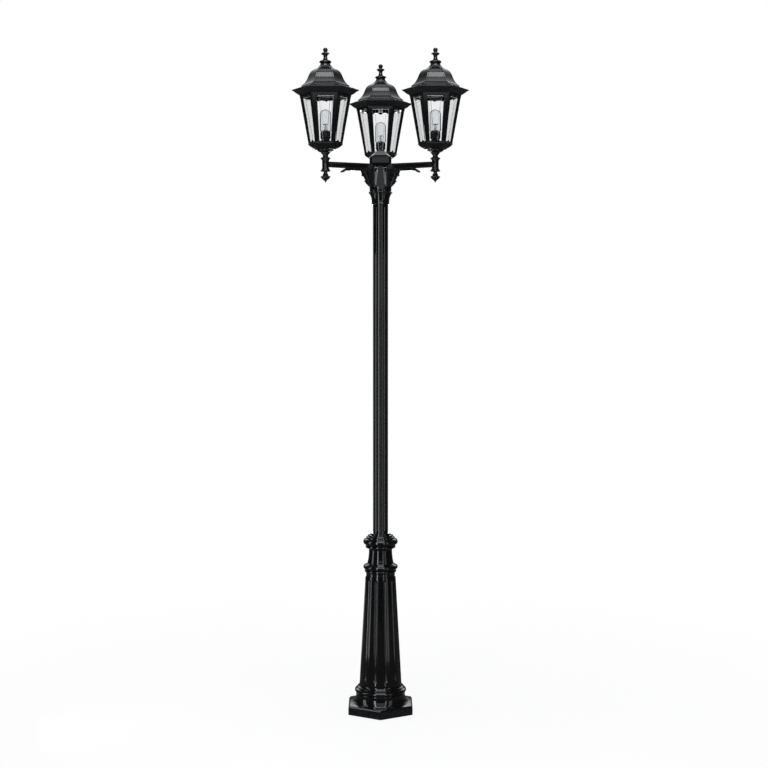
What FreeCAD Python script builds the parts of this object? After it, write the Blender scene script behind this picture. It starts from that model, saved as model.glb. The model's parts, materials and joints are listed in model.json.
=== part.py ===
import FreeCAD, Part
import math
import os

import Sketcher

# A garden lamp post with three lanterns on a three-way hub.
# Millimetres, +Z up, origin on the ground at the post's axis.
# One arm points away (+Y), the other two point to the front left and the front right.

Vector = FreeCAD.Vector
Rotation = FreeCAD.Rotation

SIZES = [
    # clearances
    ("seat_gap", 0.1),
    ("turning_gap", 0.3),
    # mounting plate, pole and socket
    ("plate_radius", 94.0),
    ("plate_thickness", 10.0),
    ("anchor_circle_radius", 78.0),
    ("anchor_hole_radius", 6.5),
    ("cable_hole_radius", 14.0),
    ("pole_radius", 29.4),
    ("pole_wall", 4.0),
    ("pole_length", 1980.0),
    ("pole_flute_radius", 3.0),
    ("pole_flute_depth", 2.2),
    ("pole_flute_margin", 9.0),
    ("socket_wall", 8.0),
    ("socket_height", 72.0),
    ("set_screw_radius", 4.0),
    ("set_screw_drop", 16.0),
    ("supply_cable_radius", 4.5),
    ("supply_cable_lift", 2.0),
    # pedestal
    ("plinth_corner_radius", 142.5),
    ("plinth_height", 34.0),
    ("plinth_bevel", 5.0),
    ("casting_wall", 8.0),
    ("bell_foot_radius", 104.0),
    ("bell_foot_height", 4.0),
    ("bell_top_radius", 94.0),
    ("bell_height", 34.0),
    ("bell_hollow", 2.5),
    ("torus_radius", 99.5),
    ("torus_height", 18.0),
    ("torus_root_radius", 93.0),
    ("torus_fillet_radius", 89.0),
    ("torus_fillet_height", 5.0),
    ("shaft_foot_radius", 81.3),
    ("shaft_cove_height", 13.0),
    ("shaft_head_radius", 58.4),
    ("shaft_height", 418.0),
    ("shaft_flute_radius", 8.0),
    ("shaft_flute_depth", 4.1),
    ("shaft_flute_margin", 10.0),
    # turned moulding above the pedestal
    ("moulding_foot_radius", 56.0),
    ("moulding_foot_height", 14.0),
    ("lower_bead_radius", 60.0),
    ("lower_bead_height", 10.0),
    ("large_bead_root", 59.0),
    ("large_bead_radius", 67.0),
    ("large_bead_height", 20.0),
    ("neck_shoulder_radius", 56.0),
    ("neck_shoulder_height", 8.0),
    ("neck_foot_radius", 49.5),
    ("neck_foot_height", 5.0),
    ("neck_head_radius", 45.0),
    ("neck_height", 44.0),
    ("neck_lip_radius", 48.5),
    ("neck_lip_height", 7.0),
    ("step_bead_radius", 58.8),
    ("step_bead_height", 11.0),
    ("crown_root_radius", 57.3),
    ("crown_bead_radius", 67.3),
    ("crown_bead_height", 25.0),
    ("crown_step_radius", 55.0),
    ("crown_step_height", 6.0),
    ("crown_slope_radius", 48.0),
    ("crown_slope_height", 9.0),
    ("crown_lip_radius", 39.0),
    ("crown_lip_height", 8.0),
    # hub collar on the pole's top
    ("collar_sink", 30.0),
    ("collar_lip_radius", 34.5),
    ("collar_lip_height", 4.0),
    ("collar_foot_radius", 33.8),
    ("collar_head_radius", 38.0),
    ("collar_height", 29.0),
    ("collar_flare_height", 11.5),
    ("collar_ring_radius", 46.0),
    ("collar_ring_height", 2.0),
    ("collar_top_height", 2.5),
    # hub casting
    ("waist_radius", 41.8),
    ("waist_height", 17.0),
    ("hub_floor", 6.0),
    ("hub_floor_hole_radius", 11.0),
    ("core_apothem", 26.0),
    ("core_corner_radius", 34.7),
    ("core_height", 79.0),
    ("hub_wall", 5.0),
    ("rim_apothem", 30.0),
    ("rim_corner_radius", 42.7),
    ("flare_height", 13.0),
    ("rim_height", 21.0),
    ("window_inner_top", 8.5),
    ("window_inner_foot", 16.0),
    ("window_outer", 22.0),
    ("window_foot", 9.0),
    ("window_height", 64.0),
    ("tongue_foot_half", 15.5),
    ("tongue_head_half", 7.5),
    ("tongue_foot_out", 40.5),
    ("tongue_head_out", 28.0),
    ("tongue_height", 76.0),
    ("collar_throat_radius", 14.0),
    ("hub_screw_circle_radius", 21.0),
    ("hub_screw_radius", 2.5),
    ("hub_screw_length", 12.0),
    ("hub_screw_head_radius", 4.2),
    ("hub_screw_head_height", 3.0),
    ("cap_height", 27.0),
    ("cap_top_apothem", 11.0),
    ("cap_top_corner_radius", 14.0),
    ("cap_lip", 2.0),
    ("cap_lip_height", 2.5),
    ("knob_stem_radius", 4.0),
    ("knob_stem_height", 7.0),
    ("knob_foot_radius", 9.0),
    ("knob_radius", 6.5),
    ("knob_stud_radius", 3.0),
    ("knob_stud_length", 16.0),
    ("terminal_length", 26.0),
    ("terminal_width", 18.0),
    ("terminal_height", 13.0),
    # arms
    ("arm_reach", 238.0),
    ("arm_lift", 75.7),
    ("bar_height", 19.0),
    ("bar_width", 16.0),
    ("bar_root_run", 4.6),
    ("bar_root_rise", 7.2),
    ("under_bar_height", 8.5),
    ("under_bar_width", 11.0),
    ("under_bar_reach", 150.0),
    ("leaf_reach", 172.0),
    ("leaf_drop", 7.5),
    ("bracket_width", 14.0),
    ("bracket_tip_reach", 80.5),
    ("second_tip_reach", 68.5),
    ("bracket_foot_reach", 45.0),
    ("rosette_radius", 12.0),
    ("rosette_reach", 47.0),
    ("rosette_thickness", 3.0),
    ("rosette_boss_radius", 5.0),
    ("arm_bore_radius", 5.0),
    ("arm_bolt_radius", 3.0),
    ("arm_bolt_length", 22.0),
    ("arm_bolt_head_radius", 5.0),
    ("arm_bolt_head_height", 4.0),
    ("arm_bolt_low", 18.0),
    ("arm_bolt_high", 46.0),
    ("sleeve_radius", 12.9),
    ("sleeve_height", 53.0),
    ("sleeve_drop", 26.7),
    ("sleeve_flange_radius", 18.9),
    ("sleeve_flange_height", 5.5),
    ("sleeve_ring_radius", 15.0),
    ("sleeve_ring_height", 4.5),
    ("sleeve_bore_radius", 7.5),
    ("thread_depth", 12.0),
    ("lead_radius", 2.0),
    ("lead_bend", 10.0),
    ("lead_start_radius", 6.0),
    # drop finial
    ("drop_neck_radius", 7.4),
    ("drop_neck_height", 8.0),
    ("drop_collar_radius", 11.0),
    ("drop_collar_height", 3.5),
    ("drop_bulge_radius", 18.4),
    ("drop_bulge_height", 9.0),
    ("drop_point_height", 20.5),
    ("drop_point_radius", 1.5),
    # lantern nipple, nut and bowl
    ("nipple_radius", 5.0),
    ("nipple_bore_radius", 3.2),
    ("nut_radius", 9.0),
    ("nut_height", 5.0),
    ("bowl_foot_radius", 12.0),
    ("bowl_foot_height", 2.0),
    ("bowl_neck_radius", 9.8),
    ("bowl_neck_height", 5.0),
    ("bowl_ogee_radius", 20.0),
    ("bowl_ogee_height", 13.0),
    ("bowl_cup_radius", 30.3),
    ("bowl_cup_height", 8.0),
    ("bowl_step_corner", 39.5),
    ("bowl_brim_corner", 64.0),
    ("bowl_flare_height", 19.0),
    ("bowl_wall", 4.0),
    # cage
    ("cage_ring_corner", 65.0),
    ("cage_ring_width", 12.0),
    ("cage_ring_height", 9.0),
    ("crest_height", 7.0),
    ("crest_half_width", 11.0),
    ("crest_thickness", 4.0),
    ("bar_foot_corner", 63.5),
    ("bar_head_corner", 96.5),
    ("cage_height", 185.0),
    ("leg_foot_width", 10.0),
    ("leg_head_width", 16.0),
    ("leg_thickness", 5.0),
    ("head_ring_corner", 97.3),
    ("head_ring_height", 11.0),
    ("head_ring_width", 9.0),
    ("head_ledge_width", 8.0),
    ("head_ledge_height", 5.0),
    ("valance_drop", 11.0),
    ("valance_edge", 1.5),
    ("valance_thickness", 3.0),
    ("pane_thickness", 3.0),
    ("pane_bevel_width", 22.0),
    ("pane_bevel_depth", 1.0),
    # roof
    ("eave_corner", 126.0),
    ("eave_rise", 18.0),
    ("eave_edge", 2.5),
    ("eave_hollow", 3.0),
    ("brow_corner", 87.0),
    ("brow_rise", 16.0),
    ("brow_step", 1.5),
    ("shoulder_corner", 64.5),
    ("shoulder_rise", 30.0),
    ("shoulder_hollow", 2.0),
    ("dome_corner", 34.0),
    ("dome_rise", 29.5),
    ("dome_swell", 6.0),
    ("peak_corner", 19.5),
    ("peak_rise", 13.0),
    ("peak_hollow", 1.5),
    ("roof_wall", 3.0),
    ("collar_ring_out", 19.0),
    ("collar_ring_rise", 20.0),
    ("collar_ring_above", 10.0),
    # bridge and top finial
    ("strap_width", 18.0),
    ("strap_thickness", 3.0),
    ("rod_radius", 3.0),
    ("rod_entry", 18.0),
    ("finial_disc_radius", 22.8),
    ("finial_disc_height", 9.0),
    ("finial_cone_height", 10.0),
    ("finial_neck_radius", 6.5),
    ("finial_neck_height", 8.0),
    ("finial_flare_height", 5.0),
    ("finial_ring_radius", 15.0),
    ("finial_ring_height", 6.0),
    ("finial_throat_radius", 5.0),
    ("finial_throat_height", 4.0),
    ("finial_ball_height", 14.5),
    # lampholder and bulb
    ("holder_height", 54.0),
    ("holder_foot_radius", 12.5),
    ("holder_foot_height", 7.0),
    ("holder_skirt_radius", 15.5),
    ("holder_skirt_height", 8.0),
    ("holder_ring_radius", 18.7),
    ("holder_ring_height", 27.0),
    ("bulb_cap_radius", 13.2),
    ("bulb_cap_height", 26.0),
    ("bulb_cap_wall", 0.8),
    ("bulb_cap_proud", 1.0),
    ("bulb_radius", 20.5),
    ("bulb_height", 75.0),
    ("bulb_dome", 7.0),
    ("bulb_foot_round", 3.0),
    ("bulb_wall", 1.2),
    ("stem_radius", 3.0),
    ("stem_height", 25.0),
    ("stem_disc_radius", 9.0),
    ("stem_disc_height", 3.0),
]

COS30 = math.cos(math.radians(30))
SIN30 = 0.5
HEXAGON_SIDES = 6
ARM_COUNT = 3
FLUTE_COUNT = 12
HALF_FLUTE = 15.0
ANCHOR_COUNT = 4
BULB_NECK = 0.6
BACK_ARM = 90.0
ARMS = [("left", 210.0), ("right", 330.0), ("back", BACK_ARM)]


class Size:
    """A length that keeps the sheet formula it comes from."""

    def __init__(self, value, formula):
        self.value = value
        self.formula = formula

    def __add__(self, other):
        other = as_size(other)
        return Size(self.value + other.value, f"({self.formula} + {other.formula})")

    def __sub__(self, other):
        other = as_size(other)
        return Size(self.value - other.value, f"({self.formula} - {other.formula})")

    def __mul__(self, other):
        other = as_size(other)
        return Size(self.value * other.value, f"({self.formula} * {other.formula})")

    def __truediv__(self, other):
        other = as_size(other)
        return Size(self.value / other.value, f"({self.formula} / {other.formula})")

    def __neg__(self):
        return Size(-self.value, f"(0 - {self.formula})")

    __radd__ = __add__
    __rmul__ = __mul__

    def __rsub__(self, other):
        return as_size(other) - self


def as_size(number):
    """A plain number as a Size."""
    if isinstance(number, Size):
        return number
    text = f"{abs(number):.8f}"
    if number < 0:
        text = f"(0 - {text})"
    return Size(float(number), text)


def root_of(size):
    """The square root of a Size."""
    return Size(math.sqrt(size.value), f"sqrt({size.formula})")


def cap_swell(rim, rise):
    """The swell of a ball's outline, from its rim to its top on the axis."""
    radius = (rim * rim + rise * rise) / (rise * 2.0)
    return radius * (1.0 - root_of(1.0 - rise / (radius * 2.0)))


class Sheet:
    """The sheet of driving sizes, read as attributes."""

    def __init__(self, doc):
        sheet = doc.addObject("Spreadsheet::Sheet", "Sizes")
        for row, (alias, value) in enumerate(SIZES, start=1):
            sheet.set(f"A{row}", alias)
            sheet.set(f"B{row}", str(value))
            sheet.setAlias(f"B{row}", alias)
        doc.recompute()
        for alias, _ in SIZES:
            setattr(self, alias, Size(float(sheet.get(alias)), f"Sizes.{alias}"))


doc = FreeCAD.newDocument("lamp_post")
s = Sheet(doc)
parts = []


# ---------------------------------------------------------------- modelling helpers

def bind(thing, path, size):
    """Tie a property to its formula in the sheet."""
    if isinstance(size, Size):
        thing.setExpression(path, size.formula)


def new_body(name, many=False):
    """A sub-part made of features; many allows a group of separate solids."""
    body = doc.addObject("PartDesign::Body", name)
    body.Label = name
    if many:
        body.AllowCompound = True
    parts.append(body)
    return body


def place(thing, x, y, z, turn=0.0):
    """Put a sub-part in the post's frame, turned about the vertical."""
    x = as_size(x)
    y = as_size(y)
    z = as_size(z)
    turned = Rotation(Vector(0, 0, 1), turn)
    thing.Placement = FreeCAD.Placement(Vector(x.value, y.value, z.value), turned)
    bind(thing, "Placement.Base.x", x)
    bind(thing, "Placement.Base.y", y)
    bind(thing, "Placement.Base.z", z)


def add_sketch(body, name, role, x=0, y=0, z=0, axis=(0, 0, 1), angle=0.0, angle_formula=None):
    """A sketch on one of the body's own origin planes, shifted and turned on it."""
    sketch = body.newObject("Sketcher::SketchObject", name)
    plane = [item for item in body.Origin.OriginFeatures if item.Role == role][0]
    sketch.AttachmentSupport = [(plane, "")]
    sketch.MapMode = "FlatFace"
    x = as_size(x)
    y = as_size(y)
    z = as_size(z)
    turned = Rotation(Vector(*axis), angle)
    sketch.AttachmentOffset = FreeCAD.Placement(Vector(x.value, y.value, z.value), turned)
    bind(sketch, "AttachmentOffset.Base.x", x)
    bind(sketch, "AttachmentOffset.Base.y", y)
    bind(sketch, "AttachmentOffset.Base.z", z)
    if angle_formula:
        sketch.setExpression("AttachmentOffset.Rotation.Angle", angle_formula)
    return sketch


def fix(sketch, kind, geometry, point, size):
    """Fix one coordinate of a sketch point."""
    size = as_size(size)
    other_axis = {"DistanceX": -2, "DistanceY": -1}[kind]
    if abs(size.value) < 1e-9:
        sketch.addConstraint(Sketcher.Constraint("PointOnObject", geometry, point, other_axis))
        return
    if size.value > 0:
        index = sketch.addConstraint(Sketcher.Constraint(kind, -1, 1, geometry, point, size.value))
    else:
        size = -size
        index = sketch.addConstraint(Sketcher.Constraint(kind, geometry, point, -1, 1, size.value))
    bind(sketch, f"Constraints[{index}]", size)


def outline(sketch, points):
    """A closed outline. A point is (x, y), or (x, y, swell) where an arc leads to it.

    The swell is the arc's height over its chord, to the right of the way along it.
    """
    corners = []
    for point in points:
        x = as_size(point[0])
        y = as_size(point[1])
        swell = as_size(point[2]) if len(point) > 2 else None
        corners.append((x, y, swell))
    first = len(sketch.Geometry)
    ends = []
    for index, (x, y, _) in enumerate(corners):
        next_x, next_y, swell = corners[(index + 1) % len(corners)]
        start = Vector(x.value, y.value, 0)
        end = Vector(next_x.value, next_y.value, 0)
        if swell is None:
            sketch.addGeometry(Part.LineSegment(start, end))
            ends.append((1, 2))
            continue
        along = end - start
        right = Vector(along.y, -along.x, 0)
        right.normalize()
        middle = (start + end) * 0.5 + right * swell.value
        geometry = sketch.addGeometry(Part.Arc(start, middle, end))
        forward = sketch.getPoint(geometry, 1).distanceToPoint(start) < 1e-6
        ends.append((1, 2) if forward else (2, 1))
    count = len(corners)
    for index in range(count):
        after = (index + 1) % count
        joint = ("Coincident", first + index, ends[index][1], first + after, ends[after][0])
        sketch.addConstraint(Sketcher.Constraint(*joint))
    for index, (x, y, _) in enumerate(corners):
        fix(sketch, "DistanceX", first + index, ends[index][0], x)
        fix(sketch, "DistanceY", first + index, ends[index][0], y)
    for index, (x, y, _) in enumerate(corners):
        next_x, next_y, swell = corners[(index + 1) % count]
        if swell is None:
            continue
        if swell.value < 0:
            swell = -swell
        chord = (next_x - x) * (next_x - x) + (next_y - y) * (next_y - y)
        radius = chord / (swell * 8.0) + swell / 2.0
        item = sketch.addConstraint(Sketcher.Constraint("Radius", first + index, radius.value))
        bind(sketch, f"Constraints[{item}]", radius)


def circle(sketch, x, y, radius):
    """A circle with its centre and radius fixed."""
    x = as_size(x)
    y = as_size(y)
    radius = as_size(radius)
    centre = Vector(x.value, y.value, 0)
    geometry = sketch.addGeometry(Part.Circle(centre, Vector(0, 0, 1), radius.value))
    fix(sketch, "DistanceX", geometry, 3, x)
    fix(sketch, "DistanceY", geometry, 3, y)
    item = sketch.addConstraint(Sketcher.Constraint("Radius", geometry, radius.value))
    bind(sketch, f"Constraints[{item}]", radius)


def rectangle(sketch, left, right, low, high):
    """An upright rectangle."""
    outline(sketch, [(left, low), (right, low), (right, high), (left, high)])


def hexagon(sketch, corner):
    """A hexagon with a flat side towards the sketch's +X."""
    points = []
    for side in range(HEXAGON_SIDES):
        angle = math.radians(30 + 60 * side)
        points.append((corner * math.cos(angle), corner * math.sin(angle)))
    outline(sketch, points)


def three_way(sketch, apothem, corner):
    """A triangle with cut corners: wide sides between the arms, narrow sides at them."""
    half = (corner * 2.0 - apothem) / math.sqrt(3)
    points = []
    for side in range(ARM_COUNT):
        angle = math.radians(120 * side)
        cosine = math.cos(angle)
        sine = math.sin(angle)
        for sign in (-1.0, 1.0):
            x = half * (sign * cosine) + apothem * sine
            y = half * (sign * sine) - apothem * cosine
            points.append((x, y))
    outline(sketch, points)


def extrude(body, kind, name, sketch, length, symmetric=False, backwards=False):
    """A pad or a pocket of one length."""
    feature = body.newObject(kind, name)
    feature.Profile = sketch
    length = as_size(length)
    feature.Length = length.value
    bind(feature, "Length", length)
    if symmetric:
        feature.SideType = "Symmetric"
    feature.Reversed = backwards
    sketch.Visibility = False
    return feature


def pad(body, name, sketch, length, symmetric=False, backwards=False):
    return extrude(body, "PartDesign::Pad", name, sketch, length, symmetric, backwards)


def pocket(body, name, sketch, length, symmetric=False, backwards=False):
    return extrude(body, "PartDesign::Pocket", name, sketch, length, symmetric, backwards)


def turn(body, kind, name, sketch):
    """A revolution or a groove about the sketch's vertical axis."""
    feature = body.newObject(kind, name)
    feature.Profile = sketch
    feature.ReferenceAxis = (sketch, ["V_Axis"])
    feature.Angle = 360
    return feature


def loft(body, kind, name, sketches):
    """A ruled loft from the first sketch through the others."""
    feature = body.newObject(kind, name)
    feature.Profile = sketches[0]
    feature.Sections = sketches[1:]
    feature.Ruled = True
    return feature


def pattern(body, name, features, count):
    """Copies of features around the body's vertical axis."""
    feature = body.newObject("PartDesign::PolarPattern", name)
    feature.Originals = features
    axis = [item for item in body.Origin.OriginFeatures if item.Role == "Z_Axis"][0]
    feature.Axis = (axis, [""])
    feature.Angle = 360
    feature.Occurrences = count
    body.Tip = feature
    return feature


def turned_body(name, points):
    """A sub-part turned from one outline of (radius, height) points."""
    body = new_body(name)
    sketch = add_sketch(body, name + "_outline", "XZ_Plane")
    outline(sketch, points)
    turn(body, "PartDesign::Revolution", name + "_turned", sketch)
    return body


def arm_spot(turned):
    """The place of a lantern's axis, as x and y."""
    angle = math.radians(turned)
    return s.arm_reach * math.cos(angle), s.arm_reach * math.sin(angle)


# ---------------------------------------------------------------- levels shared by pieces

pedestal_top = (s.plinth_height + s.bell_foot_height + s.bell_height + s.torus_height
                + s.torus_fillet_height + s.shaft_cove_height + s.shaft_height)
moulding_heights = [s.moulding_foot_height, s.lower_bead_height, s.large_bead_height,
                    s.neck_shoulder_height, s.neck_foot_height, s.neck_height,
                    s.neck_lip_height, s.step_bead_height, s.crown_bead_height,
                    s.crown_step_height, s.crown_slope_height, s.crown_lip_height]
moulding_height = moulding_heights[0]
for level in moulding_heights[1:]:
    moulding_height = moulding_height + level
moulding_bore = s.pole_radius + s.seat_gap
pole_top = s.plate_thickness + s.pole_length
collar_foot = pole_top - s.collar_sink
hub_foot = (collar_foot + s.collar_lip_height + s.collar_height + s.collar_flare_height
            + s.collar_ring_height + s.collar_top_height)
waist_top = hub_foot + s.waist_height
hub_height = s.waist_height + s.core_height + s.flare_height + s.rim_height
arm_centre = waist_top + s.arm_lift
sleeve_foot = arm_centre - s.sleeve_drop
lantern_foot = sleeve_foot + s.sleeve_height
bowl_cup_top = s.bowl_foot_height + s.bowl_neck_height + s.bowl_ogee_height + s.bowl_cup_height
bowl_top = bowl_cup_top + s.bowl_flare_height
cage_top = bowl_top + s.cage_height
ledge_foot = cage_top - s.head_ring_height
ledge_top = ledge_foot + s.head_ledge_height
post_slope = (s.bar_head_corner - s.bar_foot_corner) / s.cage_height
roof_peak = s.eave_rise + s.eave_edge + s.brow_rise + s.brow_step + s.shoulder_rise + s.dome_rise
roof_peak = roof_peak + s.peak_rise
roof_top = roof_peak + s.collar_ring_above
nipple_foot = -s.thread_depth
holder_top = (s.holder_height + s.holder_foot_height + s.holder_skirt_height
              + s.holder_ring_height)
bulb_cap_foot = holder_top + s.bulb_cap_proud - s.bulb_cap_height
bulb_foot = holder_top + s.bulb_cap_proud


# ---------------------------------------------------------------- post

def mounting_plate():
    body = new_body("mounting_plate")
    disc = add_sketch(body, "plate_disc", "XY_Plane")
    circle(disc, 0, 0, s.plate_radius)
    circle(disc, 0, 0, s.cable_hole_radius)
    pad(body, "plate_pad", disc, s.plate_thickness)
    hole = add_sketch(body, "anchor_hole", "XY_Plane")
    circle(hole, s.anchor_circle_radius * math.sqrt(0.5), s.anchor_circle_radius * math.sqrt(0.5),
           s.anchor_hole_radius)
    cut = pocket(body, "anchor_cut", hole, s.plate_thickness, backwards=True)
    pattern(body, "anchor_pattern", [cut], ANCHOR_COUNT)


def pedestal():
    body = new_body("pedestal")
    plinth = add_sketch(body, "plinth_outline", "XY_Plane", angle=-HALF_FLUTE)
    hexagon(plinth, s.plinth_corner_radius)
    pad(body, "plinth_pad", plinth, s.plinth_height - s.plinth_bevel)
    foot = add_sketch(body, "bevel_foot", "XY_Plane", z=s.plinth_height - s.plinth_bevel,
                      angle=-HALF_FLUTE)
    hexagon(foot, s.plinth_corner_radius)
    head = add_sketch(body, "bevel_head", "XY_Plane", z=s.plinth_height, angle=-HALF_FLUTE)
    hexagon(head, s.plinth_corner_radius - s.plinth_bevel)
    loft(body, "PartDesign::AdditiveLoft", "plinth_bevel", [foot, head])
    level = s.plinth_height - s.plinth_bevel
    rise = [(s.bell_foot_radius, level)]
    level = s.plinth_height + s.bell_foot_height
    rise.append((s.bell_foot_radius, level))
    level = level + s.bell_height
    rise.append((s.bell_top_radius, level, -s.bell_hollow))
    root = level
    level = level + s.torus_height
    rise.append((s.torus_root_radius, root))
    rise.append((s.torus_root_radius, level, s.torus_radius - s.torus_root_radius))
    rise.append((s.torus_fillet_radius, level))
    level = level + s.torus_fillet_height
    rise.append((s.torus_fillet_radius, level))
    cove_foot = level
    level = level + s.shaft_cove_height
    cove_hollow = s.shaft_cove_height * 0.22
    rise.append((s.shaft_foot_radius, level, -cove_hollow))
    rise.append((s.shaft_head_radius, pedestal_top))
    rise.append((0, pedestal_top))
    rise.append((0, s.plinth_height - s.plinth_bevel))
    shell = add_sketch(body, "shaft_outline", "XZ_Plane")
    outline(shell, rise)
    turn(body, "PartDesign::Revolution", "shaft_turned", shell)
    cavity = add_sketch(body, "cavity_outline", "XZ_Plane")
    plate_room = s.plate_radius + s.seat_gap
    outline(cavity, [
        (0, 0),
        (plate_room, 0),
        (plate_room, s.plinth_height * 0.8),
        (s.torus_fillet_radius - s.casting_wall * 1.5, cove_foot),
        (s.shaft_foot_radius - s.casting_wall, level),
        (s.shaft_head_radius - s.casting_wall, pedestal_top),
        (0, pedestal_top),
    ])
    turn(body, "PartDesign::Groove", "cavity", cavity)
    slant = f"atan(({s.shaft_foot_radius.formula} - {s.shaft_head_radius.formula})" \
            f" / {s.shaft_height.formula})"
    slant_angle = math.degrees(math.atan((s.shaft_foot_radius - s.shaft_head_radius).value
                                         / s.shaft_height.value))
    run = pedestal_top - level - s.shaft_flute_margin * 2.0
    start = level + s.shaft_flute_margin
    start_radius = s.shaft_foot_radius - (s.shaft_foot_radius - s.shaft_head_radius) \
        * s.shaft_flute_margin / s.shaft_height
    cut = flute(body, "shaft_flute", start_radius, start, run, s.shaft_flute_radius,
                s.shaft_flute_depth, slant_angle, slant)
    pattern(body, "shaft_flutes", [cut], FLUTE_COUNT)
    place(body, 0, 0, 0, HALF_FLUTE)


def flute(body, name, surface_radius, start, run, radius, depth, angle=0.0, angle_formula=None):
    """A round-ended channel cut along the surface of a post."""
    centre = surface_radius + radius - depth
    sketch = add_sketch(body, name + "_outline", "XZ_Plane", x=centre, y=start,
                        angle=angle, angle_formula=angle_formula)
    quarter = radius * (1 - math.sqrt(0.5))
    outline(sketch, [
        (0, 0),
        (radius, radius, quarter),
        (radius, run - radius),
        (0, run, quarter),
    ])
    return turn(body, "PartDesign::Groove", name, sketch)


def pole_socket():
    body = new_body("pole_socket")
    ring = add_sketch(body, "socket_ring", "XY_Plane")
    circle(ring, 0, 0, s.pole_radius + s.seat_gap + s.socket_wall)
    circle(ring, 0, 0, s.pole_radius + s.seat_gap)
    pad(body, "socket_pad", ring, s.socket_height)
    hole = add_sketch(body, "screw_hole", "YZ_Plane", y=s.socket_height - s.set_screw_drop)
    circle(hole, 0, 0, s.set_screw_radius + s.seat_gap)
    reach = s.pole_radius + s.seat_gap + s.socket_wall * 2.0
    cut = pocket(body, "screw_cut", hole, reach, backwards=True)
    pattern(body, "screw_cuts", [cut], ARM_COUNT)
    place(body, 0, 0, s.plate_thickness)


def radial_screws(name, height, radius, inner, outer, turned=0.0):
    """Three set screws that point at the post's axis."""
    body = new_body(name, many=True)
    sketch = add_sketch(body, name + "_end", "YZ_Plane", z=inner)
    circle(sketch, 0, 0, radius)
    screw = pad(body, name + "_screw", sketch, outer - inner)
    pattern(body, name + "_group", [screw], ARM_COUNT)
    place(body, 0, 0, height, turned)


def pole():
    body = new_body("pole")
    ring = add_sketch(body, "pole_ring", "XY_Plane")
    circle(ring, 0, 0, s.pole_radius)
    circle(ring, 0, 0, s.pole_radius - s.pole_wall)
    pad(body, "pole_pad", ring, s.pole_length)
    start = pedestal_top + moulding_height + s.pole_flute_margin - s.plate_thickness
    run = collar_foot - s.plate_thickness - s.pole_flute_margin - start
    cut = flute(body, "pole_flute", s.pole_radius, start, run, s.pole_flute_radius,
                s.pole_flute_depth)
    pattern(body, "pole_flutes", [cut], FLUTE_COUNT)
    place(body, 0, 0, s.plate_thickness)


def moulding():
    """The stack of rings that closes the pedestal round the pole."""
    level = moulding_heights[0]
    rise = [(s.moulding_foot_radius, 0), (s.moulding_foot_radius, level)]
    half = s.lower_bead_height / 2.0
    rise.append((s.lower_bead_radius - half, level))
    level = level + s.lower_bead_height
    rise.append((s.lower_bead_radius - half, level, half * 0.9))
    rise.append((s.large_bead_root, level))
    level = level + s.large_bead_height
    rise.append((s.large_bead_root, level, s.large_bead_radius - s.large_bead_root))
    rise.append((s.neck_shoulder_radius, level))
    level = level + s.neck_shoulder_height
    rise.append((s.neck_foot_radius, level, -s.neck_shoulder_height * 0.2))
    level = level + s.neck_foot_height
    rise.append((s.neck_foot_radius, level))
    level = level + s.neck_height
    rise.append((s.neck_head_radius, level, -s.neck_height * 0.03))
    level = level + s.neck_lip_height
    rise.append((s.neck_lip_radius, level, -s.neck_lip_height * 0.2))
    half = s.step_bead_height / 2.0
    rise.append((s.step_bead_radius - half, level))
    level = level + s.step_bead_height
    rise.append((s.step_bead_radius - half, level, half * 0.9))
    rise.append((s.crown_root_radius, level))
    level = level + s.crown_bead_height
    rise.append((s.crown_root_radius, level, s.crown_bead_radius - s.crown_root_radius))
    rise.append((s.crown_step_radius, level))
    level = level + s.crown_step_height
    rise.append((s.crown_step_radius, level))
    level = level + s.crown_slope_height
    rise.append((s.crown_slope_radius, level, -s.crown_slope_height * 0.2))
    rise.append((s.crown_lip_radius, level))
    level = level + s.crown_lip_height
    rise.append((s.crown_lip_radius, level))
    rise.append((moulding_bore, level))
    rise.append((moulding_bore, 0))
    body = turned_body("moulding", rise)
    hole = add_sketch(body, "grub_hole", "YZ_Plane", y=neck_screw_height())
    circle(hole, 0, 0, s.set_screw_radius + s.seat_gap)
    cut = pocket(body, "grub_cut", hole, s.neck_foot_radius * 1.2, backwards=True)
    pattern(body, "grub_cuts", [cut], ARM_COUNT)
    place(body, 0, 0, pedestal_top, BACK_ARM)


def neck_screw_height():
    """The height of the moulding's grub screws above its foot."""
    return (s.moulding_foot_height + s.lower_bead_height + s.large_bead_height
            + s.neck_shoulder_height + s.neck_foot_height + s.neck_height / 2.0)


def supply_cable():
    body = new_body("supply_cable")
    sketch = add_sketch(body, "cable_end", "XY_Plane")
    circle(sketch, 0, 0, s.supply_cable_radius)
    foot = s.plate_thickness + s.supply_cable_lift
    pad(body, "cable_pad", sketch, hub_foot + s.hub_floor - foot)
    place(body, 0, 0, foot)


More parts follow.
